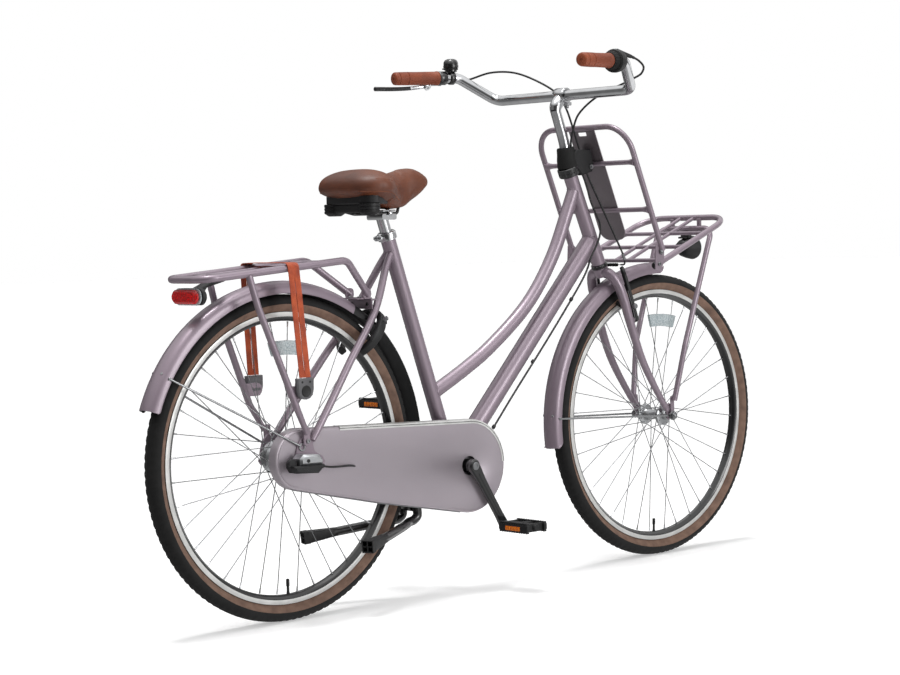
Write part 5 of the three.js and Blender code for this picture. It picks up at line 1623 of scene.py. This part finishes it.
def grip(name, side, length):
    """A smooth grip with a domed end, two fine grooves and a collar towards the middle of the bar."""
    end = [(0, -2.2), (3.2, -2.2), (3.6, -4), (9, -4), (13.4, -3.2), (15.4, -1), (16, 2)]
    grooved = [(16.1, 8.4), (14.8, 9), (14.8, 9.8), (16.2, 10.4), (16.5, 32.4), (15, 33.2), (15, 34.4),
               (16.5, 35.2), (16.2, 60), (16.5, 85)]
    collar = [(16.6, length - 6), (17.4, length - 5), (17.6, length - 1), (17, length), (13.3, length)]
    profile = [*end, *grooved, *collar, (13.3, 0), (0, 0)]
    piece = Piece().turned(profile, on_bar(side, 0), along_bar(side), 44)
    piece.made(f"{name}_skin", "steering", [grip_skin], [name], smooth=40, slot="grip")


def shifter():
    """The ribbed twist grip, and beside it the case with its window and the cable's way out."""
    along = along_bar(-1)
    twist = [(13.4, 112.6), (18.6, 112.6), (19.4, 114), (21.6, 124), (22.5, 127), (24.6, 127.4),
             (25.5, 128.4), (25.5, 130),
             (24.6, 131), (13.4, 131)]
    piece = Piece().turned(twist, on_bar(-1, 0), along, 44)
    right = unit(np.cross(along, Z))
    up = np.cross(along, right)
    for i in range(18):
        angle = 2 * math.pi * i / 18
        out = right * math.cos(angle) + up * math.sin(angle)
        piece.rod(on_bar(-1, 114.5) + out * 19.2, on_bar(-1, 126) + out * 21.8, 1.3, sides=8)
    piece.made("twist_grip_ribs", "twist_grip", [rubber], ["twist_grip"], smooth=40, slot="black_plastic")

    housing = [(13.4, 131.6), (25.6, 131.6), (27, 133), (27, 142), (25.6, 150), (23.6, 156), (22, 157),
               (13.4, 157)]
    case = Piece().turned(housing, on_bar(-1, 0), along, 48)
    case.rod((772, -293, 1237), (812, -303, 1226), 7.5, 4.2, sides=24)
    upward = up * np.sign(up[2])
    window = on_bar(-1, 143) + upward * 25.5
    case.block((17, 4, 9), window, right=along, up=right, round_edge=3, look=1)
    case.screw(on_bar(-1, 148) - upward * 23.6, -upward, 3, 2)
    case.made("shifter_case", "steering", [black_plastic, clear_lens], ["shifter_housing"], smooth=40,
              slot="black_plastic")


LEVER_PIVOT = np.array([745.0, 331, 1200])
LEVER_AXIS = unit([0, 1, 1])


def brake_lever():
    """A silver clamp body with a pivot, and a flat black blade that reaches along the grip."""
    mount = bar_collar(1, 123, 144, 17, 0.8, 36)
    mount.rod((772, 298, 1210), (759, 324, 1206), 7.5, look=1)
    for up in (-9.6, 5.6):
        mount.rod(LEVER_PIVOT + LEVER_AXIS * up, LEVER_PIVOT + LEVER_AXIS * (up + 4), 9, sides=28, look=1)
    mount.rod(LEVER_PIVOT - LEVER_AXIS * 10.4, LEVER_PIVOT + LEVER_AXIS * 10.4, 2.6, look=2)
    mount.rod((750, 322, 1205), (780, 319, 1204), 7, 4.5, look=1)
    mount.rod((774, 319.4, 1204), (783, 318.7, 1204), 5.4, sides=12, look=2)
    mount.made("brake_lever_body", "steering", [black_metal, alloy_bright, steel], ["brake_lever_mount"],
               slot="black_metal")

    blade = smooth_line([(743, 332, 1199), (705, 340, 1193), (655, 347, 1190), (600, 350, 1189)], 10)
    lever = Piece().rod(LEVER_PIVOT - LEVER_AXIS * 4, LEVER_PIVOT + LEVER_AXIS * 4, 7.5, sides=28, look=1)
    lever.sweep(blade, lambda t: rounded_box(4.6 + 1.2 * t, 9.4 + 1.2 * t, 2.2), first=Y)
    lever.rod((604, 350, 1189), (592, 350, 1189), 5.5)
    body = smooth_line([(741, 332.4, 1198.8), (722, 336.8, 1195.6), (700, 341, 1192.6)], 8)
    lever.sweep(body, lambda t: rounded_box(7 - 1.2 * t, 11.6 - 1.4 * t, 2.6), first=Y, look=1)
    lever.made("brake_lever_blade", "brake_lever", [black_metal, alloy_bright], ["brake_lever"],
               slot="black_metal")


def bell():
    """A domed bell on its own clamp, and the striker's ring with its thumb tab."""
    place = on_bar(1, 162)
    piece = bar_collar(1, 156, 168, 16.6, 1, 32)
    piece.turned([(0, 14), (11, 14), (15, 16), (15, 20), (0, 20)], place, Z, 32)
    cap = [(0, 24), (16.4, 24), (18.4, 25), (19, 28), (19, 31.6), (17.6, 32.4), (17.6, 33.4), (18.6, 34.2),
           (17.6, 40),
           (14.6, 44.6), (9, 47.2), (0, 48)]
    piece.turned(cap, place, Z, 44)
    piece.rod(place + Z * 18, place + Z * 30, 3.6)
    piece.made("bell_dome", "steering", [black_metal], ["bell"], smooth=40, slot="black_metal")
    striker = Piece().turned([(4.2, 20.3), (17.4, 20.3), (18, 21), (18, 23), (17.4, 23.6), (4.2, 23.6)],
                             place, Z, 40)
    striker.block((15, 8, 3.2), place + [-19.5, 0, 21.95], round_edge=1.5)
    striker.made("bell_striker", "bell_lever", [black_plastic], ["bell_lever"], slot="steel")


handlebar()
stem()
grip("grip_left", 1, 122)
grip("grip_right", -1, 112)
shifter()
brake_lever()
bell()


# Front rim brake

PAD_SLOPE = 0.466


def brake_arm(name, side):
    """A cast arm on its pin, with a spring, a pad and its post."""
    half = [(-8, -5), (0, -9), (8, -5), (7, 14), (5, 60), (12, 112), (15, 132), (11, 135), (7, 131),
            (2, 106), (-3, 60), (-7, 14)]
    arm = [(-side * y, up) for y, up in half]
    outward = Y * side
    piece = Piece().slab(arm, on_pin(side, 1.5), Y, BRAKE_UP, -5.5, 5.5, soft=1.6)
    pad_line = (on_pin(side, 0) + BRAKE_UP * 33) * [1, 0, 1]
    post = [pad_line + outward * y for y in (20, 64)]
    piece.rod(*post, 4, look=1)
    piece.rod(post[1] - outward * 3, post[1] + outward * 3, 7, sides=6, look=1)
    washer = [(4, 0), (8, 0), (8.4, 1), (8.4, 6), (7, 8), (4, 8)]
    piece.turned(washer, pad_line + outward * 29, outward, 24, look=1)
    for shift in (-17, 0, 17):
        place = pad_line + outward * 18.8 + X * shift - Z * shift * PAD_SLOPE
        piece.block((15.4, 8, 9), place, unit([1, 0, -PAD_SLOPE]), unit([PAD_SLOPE, 0, 1]), 2, look=2)
    spring = [on_pin(side, -5) + outward * 6, on_pin(side, -6) + outward * 6 + BRAKE_UP * 30,
              on_pin(side, -5) + BRAKE_UP * 74]
    piece.tube(smooth_line(spring, 8), 1.1, 8, look=1)
    piece.screw(on_pin(side, 9), BRAKE_FORWARD, 5.4, 3.4, look=1)
    piece.made(f"{name}_cast", name, [black_metal, steel, rubber], [name], slot="black_metal")


brake_arm("brake_arm_right", -1)
brake_arm("brake_arm_left", 1)


# Front carrier

CARRIER_FOOT = np.array([1071.0, 0, 775])
BACK_UP = unit([-124, 0, 303])
BACK_AHEAD = np.cross(Y, BACK_UP)


def on_back(up, y, ahead=0):
    """A point in the front carrier's leaning back frame, from its foot."""
    return CARRIER_FOOT + BACK_UP * up + Y * y + BACK_AHEAD * ahead


def flared_bar(piece, a, b, radius, flare, length):
    """A crossbar whose ends widen where it is brazed on."""
    a, b = np.array(a, float), np.array(b, float)
    span = np.linalg.norm(b - a)
    profile = [(0, 0), (radius + flare, 0), (radius + flare * 0.35, length * 0.45), (radius, length),
               (radius, span - length),
               (radius + flare * 0.35, span - length * 0.45), (radius + flare, span), (0, span)]
    piece.turned(profile, a, b - a, 24)


def back_plate(piece):
    """The sheet between the rungs: round lower corners and a slot near its top."""
    corners = [arc_points(*corner, 26, start, start + 90, 9) for corner,
               start in (((-17, 54), 180), ((17, 54), 270))]
    right_edge = straight((43, 60), (43, 323), 26)
    top_edge = straight((43, 323), (-43, 323), 22)
    left_edge = straight((-43, 323), (-43, 60), 26)
    outline = np.concatenate([*corners, right_edge, [(43, 323)], top_edge, [(-43, 323)], left_edge])
    middle = np.array([0, 310])
    toward = outline - middle
    toward /= np.linalg.norm(toward, axis=1, keepdims=True)
    slot_half = np.array([14, 5])
    reach = (slot_half / np.maximum(np.abs(toward), 1e-6)).min(1, keepdims=True)
    slot = middle + toward * reach
    eased = inset(outline, 0.6)
    rings = []
    for shape, depth in ((eased, 3.5), (outline, 4.1), (outline, 5.9), (eased, 6.5), (slot, 6.5),
                         (slot, 3.5)):
        rings.append([on_back(up, y, depth) for y, up in shape])
    piece.loft(rings, look=1, round_path=True)


def carrier_back():
    """A bent frame over the front wheel, with two rungs, the sheet and the lugs at its feet."""
    corners = [on_back(0, -153), on_back(327.4, -153), on_back(327.4, 153), on_back(0, 153)]
    piece = Piece().tube(bent_line(corners, 65, 14), 7, 28)
    for up in (109, 233):
        flared_bar(piece, on_back(up, -149), on_back(up, 149), 6, 4.5, 20)
    back_plate(piece)
    lug = [(1046, 730), (1066, 726), (1078, 745), (1080, 782), (1062, 800), (1050, 790)]
    for side in SIDES:
        piece.slab(lug, Y * side * 149.7, X, Z, -1.5, 1.5)
        piece.nut((1066, side * 151.2, 772), Y * side, 7.5, 5, look=2)
        piece.screw((1060, side * 151.2, 742), Y * side, 5, 3, look=2)
    piece.made("carrier_back_tubes", "steering", [paint, paint_plate, steel], ["carrier_back"],
               slot="paint")


PLATFORM_SLOPE = 0.404


def platform_point(x, y):
    """A point on the front carrier's platform, which rises forward."""
    return np.array([x, y, 737 + PLATFORM_SLOPE * (x - 1055)])


def carrier_platform():
    """The sloping platform with its bars, on one bent tube that rises from both ends of the axle."""
    rail = [platform_point(x, y) for x, y in ((1055, -140), (1340, -140), (1340, 140), (1055, 140))]
    piece = Piece().tube(bent_line(rail, 60, 14), 7.5, 28)
    for x in (1088, 1165, 1245):
        flared_bar(piece, platform_point(x, -137), platform_point(x, 137), 5, 3, 14)
    for y in (-22, 22):
        piece.rod(platform_point(1088, y), platform_point(1338, y), 4.5, sides=18)
    leg = [(1195, -70, 394), (1224, -84, 533), (1314, -90, 786), (1330, -90, 825)]
    piece.tube(bent_line([*leg, *mirrored(leg)[::-1]], 28, 10), 7, 26)
    for side in SIDES:
        eye = [(-6.3, 346), (6.3, 346), (6.3, 392), (4, 404), (-4, 406), (-6.3, 400)]
        piece.slab([(WHEELBASE + x, z) for x, z in eye], Y * side * 61.4, X, Z, -2, 2)
        piece.block((8, 10, 24), (1332, side * 45, 838), round_edge=2)
        cap = [(0, -3.4), (5, -3.2), (8.2, -1.4), (9, 0.6), (9, 5), (7.7, 6), (0, 6)]
        rail_end = platform_point(1055, side * 140)
        piece.turned(cap, rail_end, unit([1, 0, PLATFORM_SLOPE]), 28, look=1)
    piece.made("carrier_platform_tubes", "steering", [paint, black_plastic], ["carrier_platform"],
               slot="paint")


def headlight():
    """A bowl under the platform's front bar, with a chrome reflector behind a clear cover."""
    place = np.array([0.0, 0, 776])
    bowl = [(0, 1297), (9, 1297.6), (12, 1300), (13, 1308), (18, 1311), (22, 1318), (27, 1336), (30, 1352),
            (30.4, 1354),
            (30, 1356), (27, 1356), (24, 1340), (16, 1322), (0, 1316)]
    piece = Piece().turned(bowl, place, X, 48)
    piece.block((14, 26, 18), (1332, 0, 808.6), round_edge=3)
    piece.block((26, 22, 5), (1326, 0, 802), round_edge=2)
    piece.screw((1339, 0, 810), X, 5, 3, look=1)
    reflector = [(0, 1316.4), (15.6, 1322.4), (23.4, 1340.4), (26.4, 1355), (25.6, 1355), (22.8, 1341),
                 (15, 1323.6), (0, 1318)]
    piece.turned(reflector, place, X, 40, look=1)
    piece.rod((1316, 0, 776), (1330, 0, 776), 5, look=1)
    piece.made("headlight_bowl", "steering", [black_plastic, chrome], ["headlight_housing"],
               slot="black_plastic")
    dome = [(0, 1360.6), (22, 1359.4), (28, 1356.4), (29.4, 1356.4), (29.4, 1358), (26, 1361), (16, 1362.6),
            (0, 1363)]
    cover = Piece().turned(dome, place, X, 48)
    cover.made("headlight_cover", "steering", [clear_lens], ["headlight_lens"], slot="clear_lens")


carrier_back()
carrier_platform()
headlight()


# Cables, held along their whole way

CABLE_RADIUS = 2.5
brake_cable_points = [
    (781, 318.8, 1204), (812, 301, 1208), (842, 281, 1213), (865, 225, 1227), (885, 167, 1224.5),
    (893, 95, 1201), (912, 45, 1169), (921, 33, 1149), (924, 19, 1125), (926, -1, 1074),
    (935, -12.6, 1021), (949, -19.5, 969.5), (976, -36, 895), (1010, -50, 816),
    (1030, -62, 760), (1044, -50, 743), (1052, -28, 741), (1052, 30, 741),
]
shift_cable_points = [
    (812.6, -303, 1226), (832, -306, 1218), (850, -305, 1205), (868, -282, 1191), (888, -233, 1181),
    (903, -181, 1171), (908, -133, 1159), (908, -92, 1145), (903, -57, 1122), (900, -39, 1103),
    (899, -25.6, 1072), (898.6, -17.6, 1035), (915, -19.5, 1000), (935.4, -20.5, 961), (942, -26, 936),
    (950, -29, 902), (964, -34, 867), (975, -36, 843), (974, -36, 818), (965, -33, 793), (948, -29, 763),
    (937, -26, 735), (921, -24, 709), (814, -24, 590), (674, -24, 443), (535, -24, 295), (500, -25, 268),
    (458, -28, 262), (410, -41, 268), (370, -52, 278), (280, -54, 300), (200, -54, 318), (162, -55, 325),
    (140, -64, 330), (62, -86, 336), (31.4, -88, 342),
]


def brake_cable():
    """A sleeve from the lever, a bent pipe over the wheel, and a bellows over the wire between the arms."""
    line = smooth_line(brake_cable_points, 10)
    pipe_start, wire_start = 135, 159
    piece = Piece().tube(line[:pipe_start + 1], CABLE_RADIUS, 14)
    piece.tube(line[pipe_start:wire_start + 1], 2.2, 14)
    piece.rod(line[pipe_start + 3], line[pipe_start + 8], 3.8, sides=18, look=1)
    piece.tube(line[wire_start:], 1, 8, look=1)
    fold = [(1.4, 0), (3.4, 0.6), (4.6, 2.7), (3.4, 4.9), (1.4, 5.5)]
    for y in np.arange(-20, 24, 5.5):
        piece.turned(fold, (1052, y, 741), Y, 18, look=2)
    piece.rod(line[0], line[3], 3.3, look=1)
    piece.made("brake_cable_sleeve", "steering", [cable_skin, steel, rubber], ["brake_cable"], slot="cable")


def shift_cable():
    """One sleeve from the twist grip to the hub, which bends under the headset cover, and its clips."""
    line = smooth_line(shift_cable_points, 8)
    piece = Piece().tube(line, CABLE_RADIUS, 14)
    piece.rod(line[0], line[3], 3.4)
    sleeve = piece.made("shift_cable_sleeve", None, [cable_skin], ["shift_cable", "shift_cable_upper"],
                        slot="cable")
    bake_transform(sleeve)
    clip = [(2.6, -4), (4, -4), (4.4, -3), (4.4, 3), (4, 4), (2.6, 4)]
    for x, z in ((880, 662.6), (744, 519.6), (610, 374.6)):
        piece = Piece().turned(clip, (x, -24, z), unit([140, 0, 147]), 20)
        piece.made(f"cable_clip_{x}", "frame", [black_plastic], slot="black_plastic")


brake_cable()
shift_cable()
